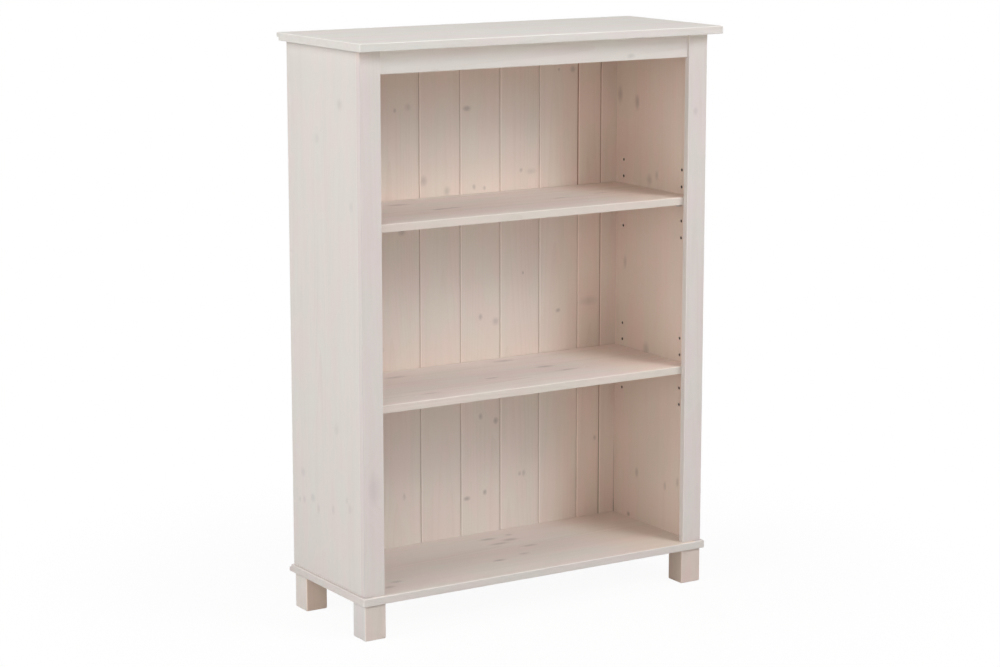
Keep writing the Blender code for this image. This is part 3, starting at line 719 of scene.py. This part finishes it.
def bores_for(rods, board, aim, sunk=False):
    """The holes in a board for the rods whose names start so and which enter it along aim,
    sunk for their heads where asked."""
    kind = "_".join(rods.split("_")[:2])
    axis = max((X, Y, Z), key=lambda a: abs(aim[a]))
    near, far = (0, 1) if aim[axis] > 0 else (1, 0)
    room = sizes().clearance
    bores = []
    for rod in nodes_named(rods):
        mouth = middle_of(rod)
        mouth[axis] = box_of(board)[near][axis]
        depth = abs(box_of(rod)[far][axis] - mouth[axis]) + room
        sink = SCREWS[kind]["head"] + SINK_ROOM if sunk else 0.0
        bores.append(bore_at(mouth, aim, ROD_RADIUS[kind] + room, depth, sink))
    return bores


def add_bores(shape, bores):
    """Add the holes' loose points to a board's bmesh."""
    layers = {name: shape.verts.layers.float.new(name) for name in ("bore", "depth", "sink")}
    aims = shape.verts.layers.float_vector.new("aim")
    for hole in bores:
        point = shape.verts.new(hole["start"])
        point[aims] = hole["aim"]
        for name, layer in layers.items():
            point[layer] = hole[name]


def rebate_box(board, above):
    """The rebate along a board's rear edge, above or below the back's boards' ends: its
    middle and its size."""
    low, high = box_of(board)
    back_low, back_high = box_of("back_board_1")
    front = box_of("side_panel_left")[1][Y]
    room = sizes().clearance
    bottom = low[Z] - OVERRUN if above else back_low[Z] - room
    top = back_high[Z] + room if above else high[Z] + OVERRUN
    corner_low = Vector((low[X] - OVERRUN, front, bottom))
    corner_high = Vector((high[X] + OVERRUN, high[Y] + OVERRUN, top))
    return (corner_low + corner_high) / 2, corner_high - corner_low


def stays_square(edge, square):
    """Whether an edge is in a list of square faces or of square pairs of faces."""
    normals = [face.normal for face in edge.link_faces]
    return any(
        all(any(normal.dot(way) > 0.5 for normal in normals) for way in ways)
        for ways in square
    )


def planed(node, ease, square=(), bores=(), rebate=None):
    """A planed, drilled and rebated block of washed pine in the place of a CAD node."""
    finish = pine_finish(node, ease)
    low, high = box_of(node)
    shape = bmesh.new()
    bmesh.ops.create_cube(shape, size=1)
    for vertex in shape.verts:
        vertex.co = Vector((high[a] if vertex.co[a] > 0 else low[a]) for a in (X, Y, Z))
    shape.normal_update()
    eased = [edge for edge in shape.edges if not stays_square(edge, square)]
    bmesh.ops.bevel(
        shape, geom=eased, offset=ease, offset_type='OFFSET', segments=sizes().ease_steps,
        profile=0.5, affect='EDGES')
    add_bores(shape, bores)
    piece = new_piece(f"{node}_timber", shape)
    values = {"Hole Sides": sizes().rod_sides, "Sharp Angle": SHARP, "Finish": finish}
    if rebate:
        values["Rebate Centre"], values["Rebate Size"] = map(list, rebate)
    add_nodes(piece, board_joinery, values)
    flat = piece.modifiers.new("flat_faces", 'WEIGHTED_NORMAL')
    flat.keep_sharp, flat.weight = True, 100
    settle(piece, finish)
    fit(piece, node, PINE)


# Finishes

def new_finish(name):
    """A new material, its drawing and its shader."""
    material = bpy.data.materials.new(name)
    material.use_nodes = True
    return material, Drawing(material.node_tree), material.node_tree.nodes["Principled BSDF"]


def knot_masks(draw, board, wobble, knots):
    """How much of a spot is knot, from 0 to 1, and its distance to the nearest knot in that
    knot's own half-widths."""
    wobble = draw.vector('MULTIPLY_ADD', wobble, (KNOT_RAGGED, 0.0, KNOT_RAGGED),
                         (-KNOT_RAGGED / 2, 0.0, -KNOT_RAGGED / 2))
    ragged = draw.vector('ADD', board, wobble)
    masks, distances = [], []
    for across, along, half_width, half_length, strength in knots:
        away = draw.length(draw.vector(
            'MULTIPLY_ADD', ragged, (1 / half_width, 0.0, 1 / half_length),
            (-across / half_width, 0.0, -along / half_length)))
        masks.append(draw.ease(away, *KNOT_FADE, 0.0, strength))
        distances.append(away)
    return reduce(Wire.larger, masks), reduce(Wire.smaller, distances)


def growth_rings(draw, noise, local, width, chance, distance):
    """How much of a spot is latewood, from rings about a pith behind the board."""
    side, deep, along = local
    side = side - width * chance.uniform(-PITH_SIDE, PITH_SIDE)
    side = side + (noise("sway") - 0.5) * PITH_SWAY
    radius = draw.length(draw.join(side, deep + chance.uniform(*PITH_BEHIND)))
    radius = radius + along * RING_LEAN + noise("waves") * RING_WAVE
    if distance:
        radius = radius + draw.ease(distance, *SWELL_FADE, 0.0, RING_SWELL)
    late = ((radius / look().ring_spacing) % 1.0) ** LATE_SHARPNESS
    return late * draw.ease(noise("figure"), *FIGURE_FADE, LEAST_FIGURE, 1.0)


def arris_mask(draw, parts, low, high, reach):
    """1 on the eased edges of a box, 0 on its faces, for the painted highlight along them."""
    near = []
    for axis in (X, Y, Z):
        depth = abs(parts[axis] - (low[axis] + high[axis]) / 2)
        half = (high[axis] - low[axis]) / 2
        near.append(draw.ease(depth, half - reach, half - reach * ARRIS_HIGHLIGHT_SHARE))
    return (near[0] * near[1]).larger((near[1] * near[2]).larger(near[0] * near[2]))


def place_tint(draw, parts, low, light_and_grain):
    """Painted light and shade by where a spot is: outside the case, on a front, or inside the
    case and then painted bounce light or painted shade. The painted shade is fainter and has no
    edge about the shelves, because they can be lifted away."""
    tone = light_and_grain.tone
    if light_and_grain.front:
        tone = draw.blend(draw.where((parts[Y], low[Y], FRONT_FADE)), tone, light_and_grain.front)
    lit, shaded = (tuple(a * b for a, b in zip(light_and_grain.inner, tint))
                   for tint in (look().inside, look().shaded))
    shade = draw.ease(parts[X], *SHADED_RIGHT)
    for board, strength, above in (TOP_SHADE, *(() if light_and_grain.lined else SHELF_SHADES)):
        under = box_of(board)[0][Z]
        near = draw.where((parts[Z], under, SHADED_UNDER), (parts[Z], under, (above, 0.0)))
        shade = shade.larger(near * strength)
    front = low[Y] if light_and_grain.lined else CASE_LOW[Y]
    within = draw.where(
        (abs(parts[X]), CASE_HIGH[X], CASE_SIDE), (parts[Y], front, CASE_FRONT),
        (parts[Y], CASE_HIGH[Y], CASE_REAR), (parts[Z], CASE_LOW[Z], CASE_FLOOR),
        (parts[Z], CASE_HIGH[Z], CASE_CEILING))
    return draw.blend(within, tone, draw.blend(shade, lit, shaded))


def vee_colour(draw, node, parts, depth, colour):
    """A back board's colour with its vees, painted shade in them, and the right rear corner's
    joint.
    """
    colours = look()
    # Painted shade down in the vee's hollow
    hollow = draw.where((depth, 0.0, HOLLOW_TOP), (depth, 0.0, HOLLOW_END))
    colour = draw.blend(hollow * colours.vee_strength, colour, colours.vee)
    for across, lowest, highest, kind, strength in BARE_VEES:
        missed = draw.where(
            (abs(parts[X] - across), 0.0, MISSED_SIDE), (parts[Z], lowest, (-MISSED_FADE, 0.0)),
            (parts[Z], highest, (MISSED_FADE, 0.0)))
        colour = draw.blend(hollow * missed * strength, colour, getattr(colours, kind))
    if node == "rear_stile_right":
        upper, lower = (
            draw.ease(parts[Z], CASE_LOW[Z] + start, CASE_LOW[Z] + full, 0.0, strength)
            for start, full, strength in JOINT_SHADES)
        gap = (upper + lower) * draw.where((parts[X], CASE_HIGH[X], JOINT_SIDE))
        colour = draw.blend(gap, colour, colours.joint)
    return colour


def pine_finish(node, ease, veed=False):
    """Whitewashed pine for one piece: growth rings, fibres and knots, the wash over them, painted
    highlights on its eased edges, and painted light and shade by its place in the bookcase."""
    colours = look()
    light_and_grain = SimpleNamespace(**{**PLAIN_LIGHT_AND_GRAIN, **LIGHT_AND_GRAIN.get(node, {})})
    low, high = box_of(node)
    middle, span = (low + high) / 2, high - low
    grain = X if node in LYING else Z
    across, thick = sorted((a for a in (X, Y, Z) if a != grain), key=lambda a: -span[a])
    chance = random.Random(node)
    shifts = [tuple(chance.uniform(-FARTHEST_SHIFT, FARTHEST_SHIFT) for _ in range(3))
              for _ in range(SHIFTS)]
    material, draw, shader = new_finish(f"pine_{node}")
    parts = draw.split(draw.spot())
    local = [parts[axis] - middle[axis] for axis in (across, thick, grain)]
    board = draw.join(*local)

    def noise(name):
        number, stretch, detail = NOISES[name]
        return draw.noise(board, stretch, shifts[number], detail)

    mask = distance = None
    if node in KNOTS:
        mask, distance = knot_masks(draw, board, noise("knots"), [
            (a / 1000 - middle[across], u / 1000 - middle[grain], w / 1000, h / 1000, strength)
            for a, u, w, h, strength in KNOTS[node]])
    rings = growth_rings(draw, noise, local, span[across], chance, distance)
    fibre, streak = noise("fibres") - 0.5, noise("streaks") - 0.5
    show = (rings * colours.grain_strength + fibre * colours.fibre_strength
            + streak * colours.streak_strength) * light_and_grain.figure
    thin = draw.ease(noise("washes"), *THIN_FADE)
    wash = draw.blend(thin, colours.greenish, colours.rosy)
    wash = draw.blend(colours.patch_strength, colours.wash, wash)
    colour = draw.blend(show.larger(0.0).smaller(1.0), wash, colours.late)
    height = 0.0 - rings * RING_HOLLOW - fibre
    if mask:
        colour = draw.blend(mask, colour, colours.knot)
        height = height + mask * KNOT_RISE

    # The eased edges get a painted highlight, partly wash gathered there; a stile's outer front
    # corner gets painted shade instead
    if veed:
        depth = parts[Y] - low[Y]
        edge = draw.where((abs(local[0]), span[across] / 2, ARRIS_HIGHLIGHT_SIDE), (depth, 0.0, ARRIS_HIGHLIGHT_FACE))
    else:
        edge = arris_mask(draw, parts, low, high, ease)
    arris = colours.arris
    if light_and_grain.dusty:
        outer = draw.where((parts[X] * light_and_grain.dusty, middle[X] * light_and_grain.dusty, SHADED_ARRIS_FADE))
        arris = draw.blend(outer, arris, colours.dust)
    colour = draw.blend(edge * colours.arris_strength, colour, arris)

    # Painted light and shade by place
    colour = draw.blend(1.0, colour, place_tint(draw, parts, low, light_and_grain), 'MULTIPLY')
    # Painted light that lifts the shade under the top's overhang
    if light_and_grain.hood:
        hood = draw.where((parts[Z], CASE_HIGH[Z], HOODED_UNDER))
        colour = draw.blend(hood, colour, light_and_grain.hood, 'MULTIPLY')
    if veed:
        colour = vee_colour(draw, node, parts, depth, colour)
    # Painted shade down in the pin holes
    if light_and_grain.drilled:
        away = abs(parts[X])
        hole = draw.where(
            (away, CASE_HIGH[X], HOLE_MOUTH), (away, CASE_HIGH[X], HOLE_END),
            (parts[Y], CASE_HIGH[Y], HOLES_REAR))
        colour = draw.blend(hole, colour, colours.hole)
    draw.feed(shader, "Specular IOR Level", PINE_SPECULAR)
    rough = PINE_ROUGH + fibre * FIBRE_ROUGH + rings * RING_ROUGH
    draw.dress(shader, colour, rough, height, *PINE_BUMP)
    return material


def turned_beech(name):
    """Bare turned beech with its short flecks."""
    material, draw, shader = new_finish(name)
    spot = draw.spot()
    fleck, fibre = draw.noise(spot, *FLECKS), draw.noise(spot, *BEECH_FIBRES)
    colour = draw.blend(
        draw.ease(fleck, *FLECK_FADE) * FLECK_SHOW, look().beech, look().beech_fleck)
    rough = BEECH_ROUGH + fibre * BEECH_FIBRE_ROUGH
    draw.dress(shader, colour, rough, fibre, *BEECH_BUMP)
    return material


def plated_zinc(name):
    """Zinc plated steel, slightly rubbed."""
    material, draw, shader = new_finish(name)
    draw.feed(shader, "Metallic", 1.0)
    spot = draw.spot()
    cloud, scratch = draw.noise(spot, *CLOUDS), draw.noise(spot, *SCRATCHES)
    colour = draw.blend(draw.ease(cloud, *DULL_FADE), look().zinc, look().zinc_dull)
    rough = ZINC_ROUGH + cloud * CLOUD_ROUGH + scratch * SCRATCH_ROUGH
    draw.dress(shader, colour, rough, scratch, *ZINC_BUMP)
    return material


# Turned work

def turned(node, origin, aim, profile, slot, **cuts):
    """A turned rod in the place of a CAD node. The profile is a list of (distance along aim,
    girth, how deep it is cut)."""
    finish = made(bpy.data.materials, turned_beech if slot == BEECH else plated_zinc)
    shape = bmesh.new()
    girths = shape.verts.layers.float.new("girth")
    depths = shape.verts.layers.float.new("cut")
    before = None
    for distance, girth, deep in profile:
        point = shape.verts.new((0, 0, distance))
        point[girths], point[depths] = girth, deep
        if before:
            shape.edges.new((before, point))
        before = point
    piece = new_piece(f"{node}_{'dowel' if slot == BEECH else 'metal'}", shape)
    add_nodes(piece, turned_rod, {
        "Sides": sizes().rod_sides, "Sharp Angle": SHARP_ROD, "Finish": finish, **cuts})
    settle(piece, finish)
    turn = UP.rotation_difference(aim).to_matrix().to_4x4()
    piece.data.transform(Matrix.Translation(origin) @ turn)
    fit(piece, node, slot)


def threaded(start, end, radius, pitch, rows=6):
    """Close points along a threaded length, the thread running out at both ends."""
    count = max(2, round((end - start) / pitch * rows))
    return [
        (start + (end - start) * n / count, radius, min(1.0, n / rows, (count - n) / rows))
        for n in range(count + 1)
    ]


def vee_arris(x, front, inward, ease):
    """Three points that round the arris between a vee and a board's face."""
    slope = ease / math.sqrt(2)
    return [(x - inward * slope, front + slope), (x, front + ease * VEE_ROUND_SHARE),
            (x + inward * ease, front)]


def board_outline(node, grooved, tongued):
    """Plan of a back board: vees in front, a groove on its left and a tongue on its right."""
    s = sizes()
    low, high = box_of(node)
    left, right = low[X], high[X] - (s.tongue_length if tongued else 0.0)
    front, rear = low[Y], high[Y]
    vee = s.vee_depth
    middle = (front + vee + rear) / 2
    tongue_low, tongue_high = middle - s.tongue_thickness / 2, middle + s.tongue_thickness / 2
    outline = vee_arris(left + vee, front, 1, s.vee_ease)
    outline += reversed(vee_arris(right - vee, front, -1, s.vee_ease))
    outline.append((right, front + vee))
    if tongued:
        end, nose = high[X], s.tongue_thickness * NOSE_SHARE
        outline += [(right, tongue_low), (end - nose, tongue_low), (end, tongue_low + nose),
                    (end, tongue_high - nose), (end - nose, tongue_high), (right, tongue_high)]
    outline += [(right, rear), (left, rear)]
    if grooved:
        depth = left + s.tongue_length + s.clearance
        groove_low, groove_high = tongue_low - s.clearance, tongue_high + s.clearance
        outline += [(left, groove_high), (depth, groove_high), (depth, groove_low),
                    (left, groove_low)]
    return outline + [(left, front + vee)]


# Operators

class BOOKCASE_OT_top_board(Operator):
    """Make the top board"""
    bl_idname = "bookcase.top_board"
    bl_label = "Top board"

    def execute(self, context):
        planed("top_board", sizes().board_ease, rebate=rebate_box("top_board", True),
               bores=bores_for("top_dowel", "top_board", UP))
        return {'FINISHED'}


class BOOKCASE_OT_base_board(Operator):
    """Make the base board"""
    bl_idname = "bookcase.base_board"
    bl_label = "Base board"

    def execute(self, context):
        planed("base_board", sizes().board_ease, rebate=rebate_box("base_board", False),
               bores=bores_for("base_screw", "base_board", UP, sunk=True)
               + bores_for("foot_bolt", "base_board", UP))
        return {'FINISHED'}


class BOOKCASE_OT_side_panels(Operator):
    """Make the two sides with their rows of pin holes"""
    bl_idname = "bookcase.side_panels"
    bl_label = "Side panels"

    def execute(self, context):
        s = sizes()
        rises = [s.hole_pitch * (number - (s.holes_in_group - 1) / 2)
                 for number in range(s.holes_in_group)]
        for side, sign in SIDES.items():
            node = f"side_panel_{side}"
            outward = RIGHT * sign
            bores = []
            for group in GROUPS:
                for row in ROWS:
                    pin = middle_of(f"shelf_pin_{group}_{side}_{row}")
                    bores += [
                        bore_at(Vector((inner_face(side), pin[Y], pin[Z] + rise)), outward,
                                s.hole_radius, s.hole_depth, s.hole_radius + s.hole_chamfer)
                        for rise in rises]
            bores += bores_for(f"top_dowel_{side}", node, DOWN)
            bores += bores_for(f"base_screw_{side}", node, UP)
            bores += bores_for(f"back_screw_{side}", node, FORWARD)
            planed(node, s.stile_ease, bores=bores,
                   square=[(UP,), (DOWN,), (FORWARD,), (-outward, BACKWARD)])
        return {'FINISHED'}


class BOOKCASE_OT_front_frame(Operator):
    """Make the front stiles and the top rail"""
    bl_idname = "bookcase.front_frame"
    bl_label = "Front frame"

    def execute(self, context):
        ease = sizes().stile_ease
        rail_bores = []
        for side, sign in SIDES.items():
            node, rod, outward = f"front_stile_{side}", f"rail_dowel_{side}", RIGHT * sign
            planed(node, ease, bores=bores_for(rod, node, outward),
                   square=[(UP,), (DOWN,), (outward, BACKWARD)])
            rail_bores += bores_for(rod, "top_rail", -outward)
        planed("top_rail", ease, bores=rail_bores, square=[(UP,), (RIGHT,), (-RIGHT,)])
        return {'FINISHED'}


class BOOKCASE_OT_back_boards(Operator):
    """Make the rear stiles and the tongued boards between them"""
    bl_idname = "bookcase.back_boards"
    bl_label = "Back boards"

    def execute(self, context):
        nodes = ["rear_stile_left", *nodes_named("back_board"), "rear_stile_right"]
        for node in nodes:
            low, high = box_of(node)
            grooved, tongued = node != nodes[0], node != nodes[-1]
            finish = pine_finish(node, sizes().vee_ease, veed=True)
            values = {"Sharp Angle": SHARP, "Finish": finish}
            shape = bmesh.new()
            loop = [shape.verts.new((x, y, 0)) for x, y in board_outline(node, grooved, tongued)]
            for start, end in zip(loop, [*loop[1:], loop[0]]):
                shape.edges.new((start, end))
            piece = new_piece(f"{node}_timber", shape)
            add_nodes(piece, moulded_board, {"Height": high[Z] - low[Z], **values})
            settle(piece, finish)
            # the tree leaves the board's lower end at height 0
            piece.data.transform(Matrix.Translation((0, 0, low[Z])))
            side = node.removeprefix("rear_stile_")
            if side in SIDES:
                shape = bmesh.new()
                shape.from_mesh(piece.data)
                add_bores(shape, bores_for(f"back_screw_{side}", node, FORWARD, sunk=True))
                shape.to_mesh(piece.data)
                shape.free()
                add_nodes(piece, board_joinery, {"Hole Sides": sizes().rod_sides, **values})
                settle(piece, finish)
            fit(piece, node, PINE)
        return {'FINISHED'}


class BOOKCASE_OT_shelves(Operator):
    """Make the two loose shelves"""
    bl_idname = "bookcase.shelves"
    bl_label = "Shelves"

    def execute(self, context):
        for group in GROUPS:
            planed(f"shelf_{group}", sizes().board_ease)
        return {'FINISHED'}


class BOOKCASE_OT_feet(Operator):
    """Make the four square feet"""
    bl_idname = "bookcase.feet"
    bl_label = "Feet"

    def execute(self, context):
        for row in ROWS:
            for side in SIDES:
                node = f"foot_{row}_{side}"
                planed(node, sizes().foot_ease,
                       bores=bores_for(f"foot_bolt_{row}_{side}", node, DOWN))
        return {'FINISHED'}


class BOOKCASE_OT_shelf_pins(Operator):
    """Make the eight shelf pins"""
    bl_idname = "bookcase.shelf_pins"
    bl_label = "Shelf pins"

    def execute(self, context):
        s = sizes()
        room, inside = s.clearance, s.hole_depth - s.clearance
        shank = s.hole_radius - s.clearance
        for node in nodes_named("shelf_pin"):
            low, high = box_of(node)
            side = "right" if "right" in node else "left"
            origin = middle_of(node)
            origin[X] = inner_face(side)
            end = origin[X] - low[X] if side == "right" else high[X] - origin[X]
            head = (high[Z] - low[Z]) / 2
            profile = [
                *((along - inside, shank * share) for along, share in PIN_TIP),
                *((along, shank * share) for along, share in PIN_GROOVE), (room, shank),
                *((room + along, head - less) for along, less in PIN_COLLAR),
                *((end - along, head - less) for along, less in PIN_NOSE),
            ]
            turned(node, origin, RIGHT * -SIDES[side], [(*p, 0.0) for p in profile], STEEL)
        return {'FINISHED'}


class BOOKCASE_OT_dowels(Operator):
    """Make the fluted dowels"""
    bl_idname = "bookcase.dowels"
    bl_label = "Dowels"

    def execute(self, context):
        for kind in ("top_dowel", "rail_dowel"):
            radius = ROD_RADIUS[kind]
            tip = radius * TIP_SHARE
            end = [(tip * along, radius - tip * less, deep) for along, less, deep in DOWEL_END]
            for node in nodes_named(kind):
                low, high = box_of(node)
                axis = max((X, Y, Z), key=lambda a: (high - low)[a])
                length = (high - low)[axis]
                profile = [*end, (length / 2, radius, 1.0),
                           *((length - along, girth, deep) for along, girth, deep in end[::-1])]
                aim = Vector([float(a == axis) for a in (X, Y, Z)])
                turned(node, middle_of(node) - aim * (length / 2), aim, profile, BEECH,
                       **{"Sides": DOWEL_SIDES, "Flutes": DOWEL_FLUTES,
                          "Flute Depth": radius * FLUTE_SHARE})
        return {'FINISHED'}


class BOOKCASE_OT_screws(Operator):
    """Make the countersunk screws of the base board and of the back"""
    bl_idname = "bookcase.screws"
    bl_label = "Screws"

    def execute(self, context):
        shares = [n / POINT_STEPS for n in range(1, POINT_STEPS + 1)]
        for kind, screw in SCREWS.items():
            aim, core, head, neck = (screw[k] for k in ("aim", "radius", "head", "head_height"))
            for node in nodes_named(kind):
                low, high = box_of(node)
                length = (high - low)[Z if aim is UP else Y]
                point = length - screw["point"]
                *thread, last = threaded(
                    length * THREAD_START_SHARE, point, core, screw["pitch"])
                # the thread goes on over the point and runs out at its blunt end
                taper = [(point + screw["point"] * share,
                          core * (1 - share) + POINT_RADIUS * share, 1 - share)
                         for share in shares]
                profile = [
                    *((along, head - less, 0.0) for along, less in SCREW_RIM),
                    (neck * FLARE_AT_SHARE, core + (head - core) * FLARE_SHARE, 0.0),
                    (neck, core, 0.0),
                    *thread, (*last[:2], 1.0), *taper,
                ]
                turned(node, middle_of(node) - aim * (length / 2), aim, profile, STEEL, **{
                    "Sides": SCREW_SIDES, "Thread Pitch": screw["pitch"],
                    "Thread Depth": screw["thread"], "Recess Arm": screw["arm"],
                    "Recess Width": screw["width"], "Recess Depth": screw["recess"]})
        return {'FINISHED'}


class BOOKCASE_OT_foot_bolts(Operator):
    """Make the headless bolts that hold the feet"""
    bl_idname = "bookcase.foot_bolts"
    bl_label = "Foot bolts"

    def execute(self, context):
        radius, tip, gap = ROD_RADIUS["foot_bolt"], BOLT_TIP, BOLT_GAP
        for node in nodes_named("foot_bolt"):
            low, high = box_of(node)
            length = high[Z] - low[Z]
            origin = middle_of(node)
            origin[Z] = low[Z]
            profile = [
                (0.0, radius - tip, 0.0), (tip, radius, 0.0),
                *threaded(tip + gap, length - tip - gap, radius, BOLT_PITCH),
                (length - tip, radius, 0.0), (length, radius - tip, 0.0)]
            turned(node, origin, UP, profile, STEEL, **{
                "Sides": SCREW_SIDES, "Thread Pitch": BOLT_PITCH, "Thread Depth": BOLT_THREAD})
        return {'FINISHED'}


# Lamps: name, degrees to the right of the front, degrees up, width, power in watts
LAMPS = (
    ("key", 25.0, 38.0, 1.2, 52.0),
    ("key_side", 35.0, 28.0, 1.6, 28.8),
    ("fill_front", -20.0, 20.0, 1.6, 18.6),
    ("fill_left", -40.0, 15.0, 1.8, 15.5),
    ("left_high", -70.0, 30.0, 2.0, 24.8),
    ("left_low", -90.0, 15.0, 2.0, 36.3),
    ("left_rear", -100.0, 35.0, 2.0, 36.3),
    ("overhead", 0.0, 88.0, 2.4, 55.5),
    ("rear_right", 150.0, 0.0, 1.0, 62.0),
)
AIM, LAMP_DISTANCE = Vector((0.0, 0.0, 0.60)), 4.0
SENSOR_WIDTH, FARTHEST_SIGHT = 36.0, 200.0
# How far from the middle the floor's shadows start to fade into white, and where they end
FLOOR_FADE = (0.5, 1.2)


class BOOKCASE_OT_stage(Operator):
    """Set up the camera, the lamps and the floor"""
    bl_idname = "bookcase.stage"
    bl_label = "Stage"

    def execute(self, context):
        scene, set_up = context.scene, context.scene.bookcase_stage
        camera = bpy.data.objects.new("camera", bpy.data.cameras.new("camera"))
        camera.data.sensor_width, camera.data.clip_end = SENSOR_WIDTH, FARTHEST_SIGHT
        camera.data.lens = set_up.lens
        camera.location = set_up.camera_place
        camera.rotation_euler = set_up.camera_turn
        scene.collection.objects.link(camera)
        scene.camera = camera
        for name, around, up, width, power in LAMPS:
            around, up = math.radians(around), math.radians(up)
            away = Vector((math.sin(around) * math.cos(up), -math.cos(around) * math.cos(up),
                           math.sin(up)))
            lamp = bpy.data.lights.new(name, 'AREA')
            lamp.shape, lamp.size, lamp.energy = 'SQUARE', width, power
            stand = bpy.data.objects.new(name, lamp)
            stand.location = AIM + away * LAMP_DISTANCE
            stand.rotation_euler = away.to_track_quat('Z', 'Y').to_euler()
            scene.collection.objects.link(stand)
        self.light_world(scene, set_up)
        self.lay_floor(set_up)
        scene.view_settings.view_transform = 'Standard'
        return {'FINISHED'}

    @staticmethod
    def emptied(owner):
        """A drawing on the emptied tree of a material or a world."""
        owner.use_nodes = True
        owner.node_tree.nodes.clear()
        return Drawing(owner.node_tree)

    @staticmethod
    def seen(draw):
        """1 for what the camera sees, straight or in a reflection."""
        path = draw.node("ShaderNodeLightPath")
        return (path + path.of("Is Glossy Ray") + path.of("Is Transmission Ray")).smaller(1.0)

    def light_world(self, scene, set_up):
        """Even light all round, and plain white where the camera sees it."""
        scene.world = bpy.data.worlds.new("studio")
        draw = self.emptied(scene.world)
        even = draw.node("ShaderNodeBackground", {
            "Color": (*set_up.ambient_colour, 1), "Strength": set_up.ambient})
        white = draw.node("ShaderNodeBackground", {"Color": (1, 1, 1, 1), "Strength": 1.0})
        both = draw.node("ShaderNodeMixShader", {0: self.seen(draw), 1: even, 2: white})
        draw.node("ShaderNodeOutputWorld", {"Surface": both})

    def lay_floor(self, set_up):
        """A plain pale floor that keeps the bookcase's shadow."""
        shape = bmesh.new()
        bmesh.ops.create_grid(shape, x_segments=1, y_segments=1, size=set_up.floor_reach)
        floor = new_piece("floor", shape)
        material = bpy.data.materials.new("pale_floor")
        draw = self.emptied(material)
        plain = draw.node("ShaderNodeBsdfDiffuse", {"Color": (*set_up.floor, 1)})
        white = draw.node("ShaderNodeEmission", {"Color": (1, 1, 1, 1), "Strength": 1.0})
        away = draw.length(draw.spot())
        glow = self.seen(draw) * draw.ease(away, *FLOOR_FADE, set_up.floor_glow, 1.0)
        both = draw.node("ShaderNodeMixShader", {0: glow, 1: plain, 2: white})
        draw.node("ShaderNodeOutputMaterial", {"Surface": both})
        floor.data.materials.append(material)


class BOOKCASE_PT_panel(Panel):
    """The bookcase's pieces, sizes and finishes"""
    bl_idname = "BOOKCASE_PT_panel"
    bl_label = "Bookcase"
    bl_space_type = 'VIEW_3D'
    bl_region_type = 'UI'
    bl_category = "Bookcase"

    def draw(self, context):
        layout = self.layout
        for operator in OPERATORS:
            layout.operator(operator.bl_idname)
        for name in SETTINGS:
            group = getattr(context.scene, name)
            box = layout.box()
            for setting in group.bl_rna.properties.keys():
                if setting not in ("rna_type", "name"):
                    box.prop(group, setting)


OPERATORS = (
    BOOKCASE_OT_top_board, BOOKCASE_OT_base_board, BOOKCASE_OT_side_panels,
    BOOKCASE_OT_front_frame, BOOKCASE_OT_back_boards, BOOKCASE_OT_shelves, BOOKCASE_OT_feet,
    BOOKCASE_OT_shelf_pins, BOOKCASE_OT_dowels, BOOKCASE_OT_screws, BOOKCASE_OT_foot_bolts,
    BOOKCASE_OT_stage,
)
SETTINGS = {
    "bookcase_sizes": TimberSizes, "bookcase_look": FinishLook, "bookcase_stage": StageLook}
CLASSES = (*SETTINGS.values(), *OPERATORS, BOOKCASE_PT_panel)


def register():
    """Register the classes and the scene's settings."""
    for kind in CLASSES:
        bpy.utils.register_class(kind)
    for name, group in SETTINGS.items():
        setattr(bpy.types.Scene, name, PointerProperty(type=group))


def unregister():
    """Take the classes and the scene's settings away."""
    for name in SETTINGS:
        delattr(bpy.types.Scene, name)
    for kind in reversed(CLASSES):
        bpy.utils.unregister_class(kind)


def main():
    """Make the whole bookcase and its stage."""
    register()
    for operator in OPERATORS:
        name = operator.bl_idname.split(".")[1]
        getattr(bpy.ops.bookcase, name)()


if __name__ == "__main__":
    main()
